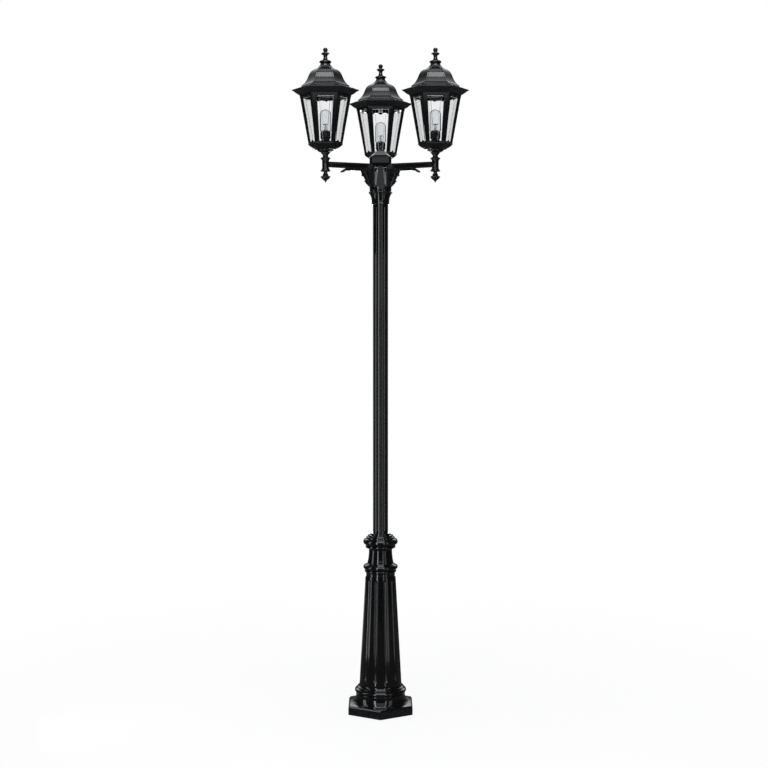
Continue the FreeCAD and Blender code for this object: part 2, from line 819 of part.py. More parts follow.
def hub_collar():
    """The casting on the pole's top, with a ledge that rests on the pole's end."""
    level = s.collar_lip_height
    rise = [(s.collar_lip_radius, 0), (s.collar_lip_radius, level)]
    rise.append((s.collar_foot_radius, level))
    level = level + s.collar_height
    rise.append((s.collar_head_radius, level, -s.collar_height * 0.03))
    level = level + s.collar_flare_height
    rise.append((s.collar_ring_radius, level, -s.collar_flare_height * 0.15))
    level = level + s.collar_ring_height
    rise.append((s.collar_ring_radius, level))
    level = level + s.collar_top_height
    rise.append((s.waist_radius, level))
    rise.append((s.collar_throat_radius, level))
    rise.append((s.collar_throat_radius, s.collar_sink))
    rise.append((s.pole_radius + s.seat_gap, s.collar_sink))
    rise.append((s.pole_radius + s.seat_gap, 0))
    body = turned_body("hub_collar", rise)
    hole = add_sketch(body, "collar_grub_hole", "YZ_Plane", y=s.collar_sink * 0.5)
    circle(hole, 0, 0, s.hub_screw_radius + s.seat_gap)
    cut = pocket(body, "collar_grub_cut", hole, s.collar_head_radius * 1.2, backwards=True)
    pattern(body, "collar_grub_cuts", [cut], ARM_COUNT)
    thread = add_sketch(body, "hub_screw_hole", "XY_Plane", z=level)
    circle(thread, s.hub_screw_circle_radius, 0, s.hub_screw_radius + s.seat_gap)
    depth = s.hub_screw_length - s.hub_floor + 1.0
    tapped = pocket(body, "hub_screw_cut", thread, depth)
    pattern(body, "hub_screw_cuts", [tapped], ARM_COUNT)
    place(body, 0, 0, collar_foot, BACK_ARM)


def hub_body():
    body = new_body("hub_body")
    waist = add_sketch(body, "waist_disc", "XY_Plane")
    circle(waist, 0, 0, s.waist_radius)
    pad(body, "waist_pad", waist, s.waist_height)
    core = add_sketch(body, "core_outline", "XY_Plane", z=s.waist_height)
    three_way(core, s.core_apothem, s.core_corner_radius)
    pad(body, "core_pad", core, s.core_height)
    flare_level = s.waist_height + s.core_height
    foot = add_sketch(body, "flare_foot", "XY_Plane", z=flare_level)
    three_way(foot, s.core_apothem, s.core_corner_radius)
    head = add_sketch(body, "flare_head", "XY_Plane", z=flare_level + s.flare_height)
    three_way(head, s.rim_apothem, s.rim_corner_radius)
    loft(body, "PartDesign::AdditiveLoft", "flare", [foot, head])
    rim = add_sketch(body, "rim_outline", "XY_Plane", z=flare_level + s.flare_height)
    three_way(rim, s.rim_apothem, s.rim_corner_radius)
    pad(body, "rim_pad", rim, s.rim_height)
    low = add_sketch(body, "tongue_foot", "XY_Plane", z=s.waist_height - 1.0)
    rectangle(low, -s.tongue_foot_half, s.tongue_foot_half, -s.tongue_foot_out,
              -(s.core_apothem - 2.0))
    high = add_sketch(body, "tongue_head", "XY_Plane", z=s.waist_height + s.tongue_height)
    rectangle(high, -s.tongue_head_half, s.tongue_head_half, -s.tongue_head_out,
              -(s.core_apothem - 2.0))
    tongue = loft(body, "PartDesign::AdditiveLoft", "tongue", [low, high])
    pattern(body, "tongues", [tongue], ARM_COUNT)
    cavity = add_sketch(body, "hub_cavity_outline", "XY_Plane", z=s.hub_floor)
    three_way(cavity, s.core_apothem - s.hub_wall, s.core_corner_radius - s.hub_wall)
    pocket(body, "hub_cavity", cavity, hub_height, backwards=True)
    floor_hole = add_sketch(body, "floor_hole_outline", "XY_Plane")
    circle(floor_hole, 0, 0, s.hub_floor_hole_radius)
    pocket(body, "floor_hole", floor_hole, s.hub_floor, backwards=True)
    window = add_sketch(body, "window_outline", "XZ_Plane", y=s.waist_height + s.window_foot)
    round_top = (s.window_outer - s.window_inner_top) / 2.0 * 0.95
    for side in (1.0, -1.0):
        swell = round_top if side > 0 else -round_top
        outline(window, [
            (s.window_inner_foot * side, 0),
            (s.window_outer * side, 0),
            (s.window_outer * side, s.window_height),
            (s.window_inner_top * side, s.window_height, swell),
        ])
    cut = pocket(body, "window_cut", window, s.tongue_foot_out + s.hub_wall, backwards=True)
    pattern(body, "windows", [cut], ARM_COUNT)
    screw_hole = add_sketch(body, "hub_floor_screw_hole", "XY_Plane")
    spot = s.hub_screw_circle_radius
    circle(screw_hole, 0, spot, s.hub_screw_radius + s.seat_gap)
    screw_cut = pocket(body, "hub_floor_screw_cut", screw_hole, s.hub_floor, backwards=True)
    pattern(body, "hub_floor_screw_cuts", [screw_cut], ARM_COUNT)
    side_hole = add_sketch(body, "arm_bolt_hole", "XZ_Plane")
    circle(side_hole, 0, s.waist_height + s.arm_bolt_low, s.arm_bolt_radius + s.seat_gap)
    circle(side_hole, 0, s.waist_height + s.arm_bolt_high, s.arm_bolt_radius + s.seat_gap)
    circle(side_hole, 0, s.waist_height + s.arm_lift, s.arm_bore_radius)
    side_cut = pocket(body, "arm_bolt_cut", side_hole, s.core_corner_radius * 1.2)
    pattern(body, "arm_bolt_cuts", [side_cut], ARM_COUNT)
    place(body, 0, 0, hub_foot)


def hub_screws():
    """Screws from the hub's floor into the collar."""
    body = new_body("hub_screws", many=True)
    spot = s.hub_screw_circle_radius
    shank = add_sketch(body, "hub_screw_shank", "XY_Plane", z=-(s.hub_screw_length - s.hub_floor))
    circle(shank, 0, spot, s.hub_screw_radius)
    first = pad(body, "hub_screw_pad", shank, s.hub_screw_length)
    head = add_sketch(body, "hub_screw_head", "XY_Plane", z=s.hub_floor)
    circle(head, 0, spot, s.hub_screw_head_radius)
    second = pad(body, "hub_screw_head_pad", head, s.hub_screw_head_height)
    pattern(body, "hub_screw_group", [first, second], ARM_COUNT)
    place(body, 0, 0, hub_foot)


def terminal_block():
    body = new_body("terminal_block")
    sketch = add_sketch(body, "terminal_outline", "XY_Plane")
    half_length = s.terminal_length / 2.0
    half_width = s.terminal_width / 2.0
    rectangle(sketch, -half_length, half_length, -half_width, half_width)
    pad(body, "terminal_pad", sketch, s.terminal_height)
    place(body, 0, 0, hub_foot + s.hub_floor)


def hub_cap():
    """A pyramid cap with a lip that overhangs the hub's rim."""
    body = new_body("hub_cap")
    lip = add_sketch(body, "cap_lip_outline", "XY_Plane")
    three_way(lip, s.rim_apothem + s.cap_lip, s.rim_corner_radius + s.cap_lip)
    pad(body, "cap_lip_pad", lip, s.cap_lip_height)
    foot = add_sketch(body, "cap_foot", "XY_Plane", z=s.cap_lip_height)
    three_way(foot, s.rim_apothem, s.rim_corner_radius)
    head = add_sketch(body, "cap_head", "XY_Plane", z=s.cap_height)
    three_way(head, s.cap_top_apothem, s.cap_top_corner_radius)
    loft(body, "PartDesign::AdditiveLoft", "cap_pyramid", [foot, head])
    hole = add_sketch(body, "cap_stud_hole", "XY_Plane")
    circle(hole, 0, 0, s.knob_stud_radius + s.seat_gap)
    pocket(body, "cap_stud_cut", hole, s.cap_height, backwards=True)
    place(body, 0, 0, hub_foot + hub_height)


def cap_knob():
    level = s.knob_stem_height
    depth = root_of(s.knob_radius * s.knob_radius - s.knob_stem_radius * s.knob_stem_radius)
    ball_height = depth + s.knob_radius
    rise = [
        (0, -s.knob_stud_length),
        (s.knob_stud_radius, -s.knob_stud_length),
        (s.knob_stud_radius, 0),
        (s.knob_foot_radius, 0),
        (s.knob_stem_radius, level, -s.knob_stem_height * 0.2),
        (0, level + ball_height, cap_swell(s.knob_stem_radius, ball_height)),
    ]
    body = turned_body("cap_knob", rise)
    place(body, 0, 0, hub_foot + hub_height + s.cap_height)


def arm_bolts():
    """Two bolts from inside the hub into each arm's root."""
    body = new_body("arm_bolts", many=True)
    seat = s.core_corner_radius - s.hub_wall
    shank_start = seat - s.arm_bolt_head_height
    features = []
    for name, height in (("low", s.arm_bolt_low), ("high", s.arm_bolt_high)):
        shank = add_sketch(body, name + "_shank", "YZ_Plane", y=height, z=seat)
        circle(shank, 0, 0, s.arm_bolt_radius)
        features.append(pad(body, name + "_shank_pad", shank, s.arm_bolt_length))
        head = add_sketch(body, name + "_head", "YZ_Plane", y=height, z=shank_start)
        circle(head, 0, 0, s.arm_bolt_head_radius)
        features.append(pad(body, name + "_head_pad", head, s.arm_bolt_head_height))
    pattern(body, "arm_bolt_group", features, ARM_COUNT)
    place(body, 0, 0, waist_top, BACK_ARM)


def lamp_leads():
    """A lead from the terminal block through each arm to its lampholder."""
    body = new_body("lamp_leads", many=True)
    bottom = hub_foot + s.hub_floor + s.terminal_height - arm_centre
    route = add_sketch(body, "lead_route", "XZ_Plane")
    bend = s.lead_bend
    swell = bend * (1 - math.sqrt(0.5))
    top = lantern_foot + s.holder_height + s.holder_foot_height - arm_centre
    open_route(route, [
        (s.lead_start_radius, bottom),
        (s.lead_start_radius, -bend),
        (s.lead_start_radius + bend, 0, -swell),
        (s.arm_reach - bend, 0),
        (s.arm_reach, bend, swell),
        (s.arm_reach, top),
    ])
    end = add_sketch(body, "lead_end", "XY_Plane", z=bottom)
    circle(end, s.lead_start_radius, 0, s.lead_radius)
    pipe = body.newObject("PartDesign::AdditivePipe", "lead_pipe")
    pipe.Profile = end
    pipe.Spine = (route, [])
    pattern(body, "lead_group", [pipe], ARM_COUNT)
    place(body, 0, 0, arm_centre, BACK_ARM)


def open_route(sketch, points):
    """An open line of straight runs and arcs, with each point fixed."""
    closed = [(as_size(item[0]), as_size(item[1])) + tuple(item[2:]) for item in points]
    for index in range(len(closed) - 1):
        x, y = closed[index][:2]
        next_x, next_y = closed[index + 1][:2]
        start = Vector(x.value, y.value, 0)
        end = Vector(next_x.value, next_y.value, 0)
        if len(closed[index + 1]) == 2:
            geometry = sketch.addGeometry(Part.LineSegment(start, end))
            first_point = 1
            last_point = 2
        else:
            swell = as_size(closed[index + 1][2])
            along = end - start
            right = Vector(along.y, -along.x, 0)
            right.normalize()
            middle = (start + end) * 0.5 + right * swell.value
            geometry = sketch.addGeometry(Part.Arc(start, middle, end))
            forward = sketch.getPoint(geometry, 1).distanceToPoint(start) < 1e-6
            first_point = 1 if forward else 2
            last_point = 2 if forward else 1
            item = sketch.addConstraint(Sketcher.Constraint("Radius", geometry,
                                                            s.lead_bend.value))
            bind(sketch, f"Constraints[{item}]", s.lead_bend)
        if index:
            joint = ("Coincident", geometry - 1, before, geometry, first_point)
            sketch.addConstraint(Sketcher.Constraint(*joint))
        fix(sketch, "DistanceX", geometry, first_point, x)
        fix(sketch, "DistanceY", geometry, first_point, y)
        before = last_point
    fix(sketch, "DistanceX", geometry, before, next_x)
    fix(sketch, "DistanceY", geometry, before, next_y)


# ---------------------------------------------------------------- arms

def arm(side, turned):
    """One arm casting: bar, leaf bracket, rosettes and the sleeve at its end."""
    name = "arm_" + side
    body = new_body(name)
    root = s.core_corner_radius + s.seat_gap
    half_bar = s.bar_height / 2.0
    bar = add_sketch(body, name + "_bar", "XZ_Plane")
    outline(bar, [
        (root, -half_bar),
        (s.arm_reach, -half_bar),
        (s.arm_reach, half_bar),
        (root + s.bar_root_run, half_bar),
        (root, half_bar - s.bar_root_rise),
    ])
    pad(body, name + "_bar_pad", bar, s.bar_width, symmetric=True)
    bracket = add_sketch(body, name + "_bracket", "XZ_Plane")
    foot = -s.arm_lift
    tip = -half_bar - s.under_bar_height
    drop = s.arm_lift - half_bar - s.under_bar_height
    outline(bracket, [
        (root, -half_bar + 2.0),
        (root, foot),
        (s.bracket_foot_reach, foot),
        (s.second_tip_reach - 4.0, tip - drop * 0.68, 2.0),
        (s.second_tip_reach, tip - drop * 0.66),
        (s.second_tip_reach - 3.5, tip - drop * 0.56, 0.8),
        (s.bracket_tip_reach - 7.0, tip - drop * 0.32, -1.2),
        (s.bracket_tip_reach, tip - drop * 0.25),
        (s.bracket_tip_reach + 1.5, tip - 1.0, -1.5),
        (s.bracket_tip_reach + 1.5, -half_bar + 2.0),
    ])
    pad(body, name + "_bracket_pad", bracket, s.bracket_width, symmetric=True)
    under = add_sketch(body, name + "_under_bar", "XZ_Plane")
    reach = s.under_bar_reach
    leaf = s.leaf_reach
    outline(under, [
        (root, -half_bar + 2.0),
        (root, tip),
        (reach, tip),
        (leaf - 10.0, tip - s.leaf_drop, -2.0),
        (leaf, tip - s.leaf_drop + 1.0, 1.5),
        (leaf - 6.0, tip + s.under_bar_height * 0.35, 2.2),
        (reach, -half_bar, 1.5),
        (reach - 6.0, -half_bar + 2.0),
    ])
    pad(body, name + "_under_pad", under, s.under_bar_width, symmetric=True)
    rosette = add_sketch(body, name + "_rosette", "XZ_Plane")
    circle(rosette, s.rosette_reach, 0, s.rosette_radius)
    pad(body, name + "_rosette_pad", rosette, s.bar_width + s.rosette_thickness * 2.0,
        symmetric=True)
    boss = add_sketch(body, name + "_boss", "XZ_Plane")
    circle(boss, s.rosette_reach, 0, s.rosette_boss_radius)
    pad(body, name + "_boss_pad", boss, s.bar_width + s.rosette_thickness * 3.6, symmetric=True)
    sleeve = add_sketch(body, name + "_sleeve", "XZ_Plane", x=s.arm_reach, y=-s.sleeve_drop)
    flange = s.sleeve_flange_height
    ring = s.sleeve_ring_height
    out = s.sleeve_flange_radius
    outline(sleeve, [
        (0, 0),
        (out, 0),
        (out - 1.0, flange, 1.0),
        (s.sleeve_ring_radius, flange + ring, -1.0),
        (s.sleeve_radius, flange + ring),
        (s.sleeve_radius, s.sleeve_height - flange - ring),
        (s.sleeve_ring_radius, s.sleeve_height - flange - ring),
        (out - 1.0, s.sleeve_height - flange, -1.0),
        (out, s.sleeve_height - flange * 0.4, 0.8),
        (s.bowl_foot_radius + 2.0, s.sleeve_height),
        (0, s.sleeve_height),
    ])
    turn(body, "PartDesign::Revolution", name + "_sleeve_turned", sleeve)
    bore = add_sketch(body, name + "_bore", "XZ_Plane", x=s.arm_reach, y=-s.sleeve_drop)
    thread = s.nipple_radius + s.seat_gap
    outline(bore, [
        (0, 0),
        (thread, 0),
        (thread, s.thread_depth),
        (s.sleeve_bore_radius, s.thread_depth),
        (s.sleeve_bore_radius, s.sleeve_height - s.thread_depth),
        (thread, s.sleeve_height - s.thread_depth),
        (thread, s.sleeve_height),
        (0, s.sleeve_height),
    ])
    turn(body, "PartDesign::Groove", name + "_bore_turned", bore)
    lead = add_sketch(body, name + "_lead_bore", "YZ_Plane", z=root)
    circle(lead, 0, 0, s.arm_bore_radius)
    pocket(body, name + "_lead_cut", lead, s.arm_reach - root, backwards=True)
    bolt = add_sketch(body, name + "_bolt_holes", "YZ_Plane", z=root)
    for height in (s.arm_bolt_low, s.arm_bolt_high):
        circle(bolt, 0, height - s.arm_lift, s.arm_bolt_radius + s.seat_gap)
    depth = s.arm_bolt_length - s.hub_wall + 1.0
    pocket(body, name + "_bolt_cut", bolt, depth, backwards=True)
    place(body, 0, 0, arm_centre, turned)


def drop_finial(side, turned):
    """The turned drop under an arm's sleeve, with its threaded stud."""
    neck = -s.drop_neck_height
    collar = neck - s.drop_collar_height
    bulge = collar - s.drop_bulge_height
    tip_rise = s.drop_point_radius * 0.6
    body = turned_body("drop_finial_" + side, [
        (0, s.thread_depth - 1.0),
        (0, bulge - s.drop_point_height),
        (s.drop_point_radius, bulge - s.drop_point_height + tip_rise,
         cap_swell(s.drop_point_radius, tip_rise)),
        (s.drop_bulge_radius * 0.55, bulge - s.drop_point_height * 0.45, -0.8),
        (s.drop_bulge_radius, bulge, 1.6),
        (s.drop_collar_radius * 0.8, collar, 1.0),
        (s.drop_collar_radius, collar + s.drop_collar_height * 0.5, 0.6),
        (s.drop_neck_radius, neck, 0.5),
        (s.drop_neck_radius, -1.5, -0.4),
        (s.drop_neck_radius + 2.0, 0),
        (s.nipple_radius, 0),
        (s.nipple_radius, s.thread_depth - 1.0),
    ])
    x, y = arm_spot(turned)
    place(body, x, y, sleeve_foot, turned)


# ---------------------------------------------------------------- lanterns

def nipple(side, turned):
    """The threaded tube that carries the bowl, its nut and the lampholder."""
    top = s.holder_height + s.holder_foot_height - 1.0
    body = turned_body("nipple_" + side, [
        (s.nipple_bore_radius, nipple_foot),
        (s.nipple_radius, nipple_foot),
        (s.nipple_radius, top),
        (s.nipple_bore_radius, top),
    ])
    x, y = arm_spot(turned)
    place(body, x, y, lantern_foot, turned)


def bowl(side, turned):
    """Turned neck and cup, a step, and a six-sided flare up to the cage."""
    name = "bowl_" + side
    body = new_body(name)
    level = s.bowl_foot_height
    rise = [(0, 0), (s.bowl_foot_radius, 0), (s.bowl_foot_radius - 1.0, level, 0.5)]
    level = level + s.bowl_neck_height
    rise.append((s.bowl_neck_radius + 1.5, level, -1.0))
    level = level + s.bowl_ogee_height
    rise.append((s.bowl_ogee_radius, level, -1.8))
    level = level + s.bowl_cup_height
    rise.append((s.bowl_cup_radius, level, 1.2))
    rise.append((0, level))
    cup = add_sketch(body, name + "_cup", "XZ_Plane")
    outline(cup, rise)
    turn(body, "PartDesign::Revolution", name + "_cup_turned", cup)
    foot = add_sketch(body, name + "_flare_foot", "XY_Plane", z=bowl_cup_top)
    hexagon(foot, s.bowl_step_corner)
    head = add_sketch(body, name + "_flare_head", "XY_Plane", z=bowl_top)
    hexagon(head, s.bowl_brim_corner)
    loft(body, "PartDesign::AdditiveLoft", name + "_flare", [foot, head])
    low = add_sketch(body, name + "_hollow_foot", "XY_Plane", z=bowl_cup_top + s.bowl_wall)
    hexagon(low, s.bowl_step_corner - s.bowl_wall)
    high = add_sketch(body, name + "_hollow_head", "XY_Plane", z=bowl_top)
    hexagon(high, s.bowl_brim_corner - s.bowl_wall * 1.6)
    loft(body, "PartDesign::SubtractiveLoft", name + "_hollow", [low, high])
    hole = add_sketch(body, name + "_hole", "XY_Plane")
    circle(hole, 0, 0, s.nipple_radius + s.seat_gap)
    pocket(body, name + "_hole_cut", hole, bowl_top, backwards=True)
    x, y = arm_spot(turned)
    place(body, x, y, lantern_foot, turned)


def lock_nuts():
    """The nuts that hold the three bowls down on their sleeves."""
    body = new_body("lock_nuts", many=True)
    sketch = add_sketch(body, "nut_outline", "XY_Plane", x=s.arm_reach)
    hexagon(sketch, s.nut_radius)
    circle(sketch, 0, 0, s.nipple_radius + s.seat_gap)
    nut = pad(body, "nut_pad", sketch, s.nut_height)
    pattern(body, "nut_group", [nut], ARM_COUNT)
    place(body, 0, 0, lantern_foot + bowl_cup_top + s.bowl_wall, BACK_ARM)


def cage(side, turned):
    """Six corner bars between a crested bottom ring and a scalloped head ring."""
    name = "cage_" + side
    body = new_body(name)
    ring = add_sketch(body, name + "_ring", "XY_Plane")
    hexagon(ring, s.cage_ring_corner)
    hexagon(ring, s.cage_ring_corner - s.cage_ring_width)
    pad(body, name + "_ring_pad", ring, s.cage_ring_height)
    head_level = s.cage_height - s.head_ring_height
    head = add_sketch(body, name + "_head", "XY_Plane", z=head_level)
    hexagon(head, s.head_ring_corner)
    hexagon(head, s.head_ring_corner - s.head_ring_width)
    pad(body, name + "_head_pad", head, s.head_ring_height)
    ledge = add_sketch(body, name + "_ledge", "XY_Plane", z=head_level)
    hexagon(ledge, s.head_ring_corner - s.head_ring_width + 1.0)
    hexagon(ledge, s.head_ring_corner - s.head_ring_width - s.head_ledge_width)
    pad(body, name + "_ledge_pad", ledge, s.head_ledge_height)
    crest = add_sketch(body, name + "_crest", "YZ_Plane", y=s.cage_ring_height - 1.0,
                       z=s.cage_ring_corner * COS30 - s.crest_thickness)
    half = s.crest_half_width
    outline(crest, [
        (-half, 0),
        (half, 0),
        (half * 0.35, s.crest_height * 0.55, -1.0),
        (0, s.crest_height + 1.0, 0.6),
        (-half * 0.35, s.crest_height * 0.55, 0.6),
        (-half, 0.6, -1.0),
    ])
    crest_pad = pad(body, name + "_crest_pad", crest, s.crest_thickness)
    valance = add_sketch(body, name + "_valance", "YZ_Plane", y=head_level,
                         z=s.head_ring_corner * COS30 - s.valance_thickness - 1.0)
    span = s.head_ring_corner * SIN30 - s.leg_head_width * 0.5
    outline(valance, [
        (-span, 1.0),
        (-span, -s.valance_edge),
        (-2.5, -s.valance_drop * 0.72, -s.valance_edge * 0.7),
        (2.5, -s.valance_drop * 0.72, s.valance_drop * 0.28),
        (span, -s.valance_edge, -s.valance_edge * 0.7),
        (span, 1.0),
    ])
    valance_pad = pad(body, name + "_valance_pad", valance, s.valance_thickness)
    sections = []
    for level, corner, leg in ((1.0, s.bar_foot_corner, s.leg_foot_width),
                               (s.cage_height - 1.0, s.bar_head_corner, s.leg_head_width)):
        section = add_sketch(body, f"{name}_bar_{len(sections)}", "XY_Plane", z=level,
                             angle=30.0)
        angle_section(section, corner, leg)
        sections.append(section)
    bar = loft(body, "PartDesign::AdditiveLoft", name + "_bar", sections)
    pattern(body, name + "_bars", [crest_pad, valance_pad, bar], HEXAGON_SIDES)
    x, y = arm_spot(turned)
    place(body, x, y, lantern_foot + bowl_top, turned)


def angle_section(sketch, corner, leg):
    """A corner bar's section: two legs that follow the cage's sides."""
    thick = s.leg_thickness
    outline(sketch, [
        (corner, 0),
        (corner - leg * SIN30, leg * COS30),
        (corner - leg * SIN30 - thick * COS30, leg * COS30 - thick * SIN30),
        (corner - thick / COS30, 0),
        (corner - leg * SIN30 - thick * COS30, thick * SIN30 - leg * COS30),
        (corner - leg * SIN30, -(leg * COS30)),
    ])


def panes(side, turned):
    """Six bevelled panes that lie against the corner bars from inside."""
    name = "panes_" + side
    body = new_body(name, many=True)
    foot = s.cage_ring_height + s.turning_gap
    head = s.cage_height - s.head_ring_height - s.turning_gap
    gap = s.seat_gap * 2.0
    bar_foot = s.bar_foot_corner + post_slope * foot
    bar_head = s.bar_foot_corner + post_slope * head
    foot_apothem = bar_foot * COS30 - s.leg_thickness - s.pane_thickness - gap
    head_apothem = bar_head * COS30 - s.leg_thickness - s.pane_thickness - gap
    lean = (head_apothem - foot_apothem) / (head - foot)
    lean_angle = math.degrees(math.atan(lean.value))
    lean_text = f"atan({lean.formula})"
    cosine = Size(math.cos(math.radians(lean_angle)), f"cos({lean_text})")
    sine = Size(math.sin(math.radians(lean_angle)), f"sin({lean_text})")
    half_angle = math.tan(math.radians(30))
    foot_half = foot_apothem * half_angle - gap
    head_half = head_apothem * half_angle - gap
    run = (head - foot) / cosine - s.pane_thickness * sine * 2.0
    slab = s.pane_thickness - s.pane_bevel_depth
    faces = []
    for index, (depth, margin) in enumerate(((as_size(0), as_size(0)), (slab, as_size(0)),
                                             (s.pane_thickness, s.pane_bevel_width))):
        sketch = add_sketch(body, f"{name}_face_{index}", "YZ_Plane",
                            y=foot + (s.pane_thickness - depth) * sine,
                            z=foot_apothem + depth * cosine,
                            axis=(1, 0, 0), angle=lean_angle, angle_formula=lean_text)
        outline(sketch, [
            (margin - foot_half, margin),
            (foot_half - margin, margin),
            (head_half - margin, run - margin),
            (margin - head_half, run - margin),
        ])
        faces.append(sketch)
    slab_pad = pad(body, name + "_slab", faces[0], slab)
    bevel = loft(body, "PartDesign::AdditiveLoft", name + "_bevel", faces[1:])
    pattern(body, name + "_group", [slab_pad, bevel], HEXAGON_SIDES)
    x, y = arm_spot(turned)
    place(body, x, y, lantern_foot + bowl_top, turned)


def lampholder(side, turned):
    """The insulating lampholder on top of the nipple."""
    foot = s.holder_foot_height
    skirt = foot + s.holder_skirt_height
    top = skirt + s.holder_ring_height
    bore = s.bulb_cap_radius + s.turning_gap
    bore_foot = bulb_cap_foot - s.holder_height - s.turning_gap
    thread = s.nipple_radius + s.seat_gap
    body = turned_body("lampholder_" + side, [
        (thread, 0),
        (s.holder_foot_radius, 0),
        (s.holder_foot_radius, foot),
        (s.holder_skirt_radius, foot + 2.0),
        (s.holder_skirt_radius, skirt),
        (s.holder_ring_radius, skirt + 2.0),
        (s.holder_ring_radius, top - 2.0),
        (s.holder_ring_radius - 2.0, top, 0.5),
        (bore, top),
        (bore, bore_foot),
        (0, bore_foot),
        (0, foot),
        (thread, foot),
    ])
    x, y = arm_spot(turned)
    place(body, x, y, lantern_foot + s.holder_height, turned)


def bulb_cap(side, turned):
    """The bulb's screw cap, with its contact at the bottom."""
    height = s.bulb_cap_height
    wall = s.bulb_cap_wall
    tip = height * 0.25
    body = turned_body("bulb_cap_" + side, [
        (0, 0),
        (3.0, 0.6, cap_swell(as_size(3.0), as_size(0.6))),
        (s.bulb_cap_radius * 0.55, tip * 0.6),
        (s.bulb_cap_radius - 1.0, tip),
        (s.bulb_cap_radius, tip + 1.0),
        (s.bulb_cap_radius, height),
        (s.bulb_cap_radius - wall, height),
        (s.bulb_cap_radius - wall, tip + 2.0),
        (0, tip + 2.0),
    ])
    x, y = arm_spot(turned)
    place(body, x, y, lantern_foot + bulb_cap_foot, turned)


def bulb_glass(side, turned):
    """The clear envelope: straight sides and a low dome."""
    wall = s.bulb_wall
    round_off = s.bulb_foot_round
    neck = s.bulb_cap_radius * BULB_NECK
    inner = s.bulb_radius - wall
    body = turned_body("bulb_glass_" + side, [
        (neck, 0),
        (s.bulb_radius - round_off, 0),
        (s.bulb_radius, round_off, round_off * 0.29),
        (s.bulb_radius, s.bulb_height),
        (0, s.bulb_height + s.bulb_dome, cap_swell(s.bulb_radius, s.bulb_dome)),
        (0, s.bulb_height + s.bulb_dome - wall),
        (inner, s.bulb_height - wall * 0.4, -cap_swell(inner, s.bulb_dome - wall * 0.6)),
        (inner, round_off + wall),
        (s.bulb_radius - round_off, wall, -round_off * 0.2),
        (neck, wall),
    ])
    x, y = arm_spot(turned)
    place(body, x, y, lantern_foot + bulb_foot, turned)


def bulb_stem(side, turned):
    """The stem inside the bulb, with its filament disc."""
    flare = s.bulb_cap_radius * BULB_NECK - s.turning_gap
    disc_foot = s.stem_height
    body = turned_body("bulb_stem_" + side, [
        (0, -2.0),
        (flare, -2.0),
        (flare, 1.0),
        (s.stem_radius, 6.0, -1.0),
        (s.stem_radius, disc_foot),
        (s.stem_disc_radius, disc_foot),
        (s.stem_disc_radius, disc_foot + s.stem_disc_height),
        (0, disc_foot + s.stem_disc_height),
    ])
    x, y = arm_spot(turned)
    place(body, x, y, lantern_foot + bulb_foot, turned)


def top_bridge(side, turned):
    """A strap across the head ring's ledge with the threaded rod for the finial."""
    name = "top_bridge_" + side
    body = new_body(name)
    half = (s.head_ring_corner - s.head_ring_width) * COS30 - s.seat_gap
    sketch = add_sketch(body, name + "_strap", "XY_Plane")
    half_width = s.strap_width / 2.0
    rectangle(sketch, -half, half, -half_width, half_width)
    pad(body, name + "_strap_pad", sketch, s.strap_thickness)
    rod = add_sketch(body, name + "_rod", "XY_Plane")
    circle(rod, 0, 0, s.rod_radius)
    top = cage_top + roof_top + s.rod_entry - ledge_top
    pad(body, name + "_rod_pad", rod, top)
    x, y = arm_spot(turned)
    place(body, x, y, lantern_foot + ledge_top, turned)


def roof_skin(inset):
    """The bell's half section above the brow, as apothems and heights.

    The inset is how far inside the outer skin the outline lies.
    """
    level = s.eave_rise + s.eave_edge + s.brow_rise + s.brow_step
    points = [(s.brow_corner * COS30 - inset, level - inset)]
    level = level + s.shoulder_rise
    points.append((s.shoulder_corner * COS30 - inset, level - inset * 0.3, -s.shoulder_hollow))
    level = level + s.dome_rise
    points.append((s.dome_corner * COS30 - inset * 0.3, level - inset, s.dome_swell))
    level = level + s.peak_rise
    points.append((s.peak_corner * COS30 - inset * 0.5, level - inset, -s.peak_hollow))
    return points


def roof(side, turned):
    """A hollow six-sided roof: three upright prisms crossed at 60 degrees."""
    name = "roof_" + side
    seat = s.head_ring_corner * COS30
    eave = s.eave_corner * COS30
    brow = s.eave_rise + s.eave_edge + s.brow_rise
    skin = [(seat, 0), (eave, s.eave_rise, -s.eave_hollow), (eave, s.eave_rise + s.eave_edge)]
    skin.append((s.brow_corner * COS30 + s.brow_step, brow))
    outer = crossed_prisms(name + "_skin", skin + roof_skin(as_size(0)))
    ledge = (s.head_ring_corner - s.head_ring_width) * COS30
    hollow = [(ledge, 0), (ledge, s.eave_rise)]
    inner = crossed_prisms(name + "_hollow", hollow + roof_skin(s.roof_wall))
    shell = doc.addObject("Part::Cut", name + "_shell")
    shell.Base = outer
    shell.Tool = inner
    collar = cylinder(name + "_collar", s.collar_ring_out, s.collar_ring_rise,
                      roof_top - s.collar_ring_rise)
    joined = doc.addObject("Part::Fuse", name + "_joined")
    joined.Base = shell
    joined.Tool = collar
    hole = cylinder(name + "_hole", s.rod_radius + s.turning_gap, roof_top, as_size(0))
    body = doc.addObject("Part::Cut", name)
    body.Base = joined
    body.Tool = hole
    body.Label = name
    parts.append(body)
    x, y = arm_spot(turned)
    place(body, x, y, lantern_foot + cage_top, turned)


def cylinder(name, radius, height, level):
    """An upright cylinder on the axis."""
    body = doc.addObject("Part::Cylinder", name)
    bind(body, "Radius", radius)
    bind(body, "Height", height)
    bind(body, "Placement.Base.z", level)
    return body


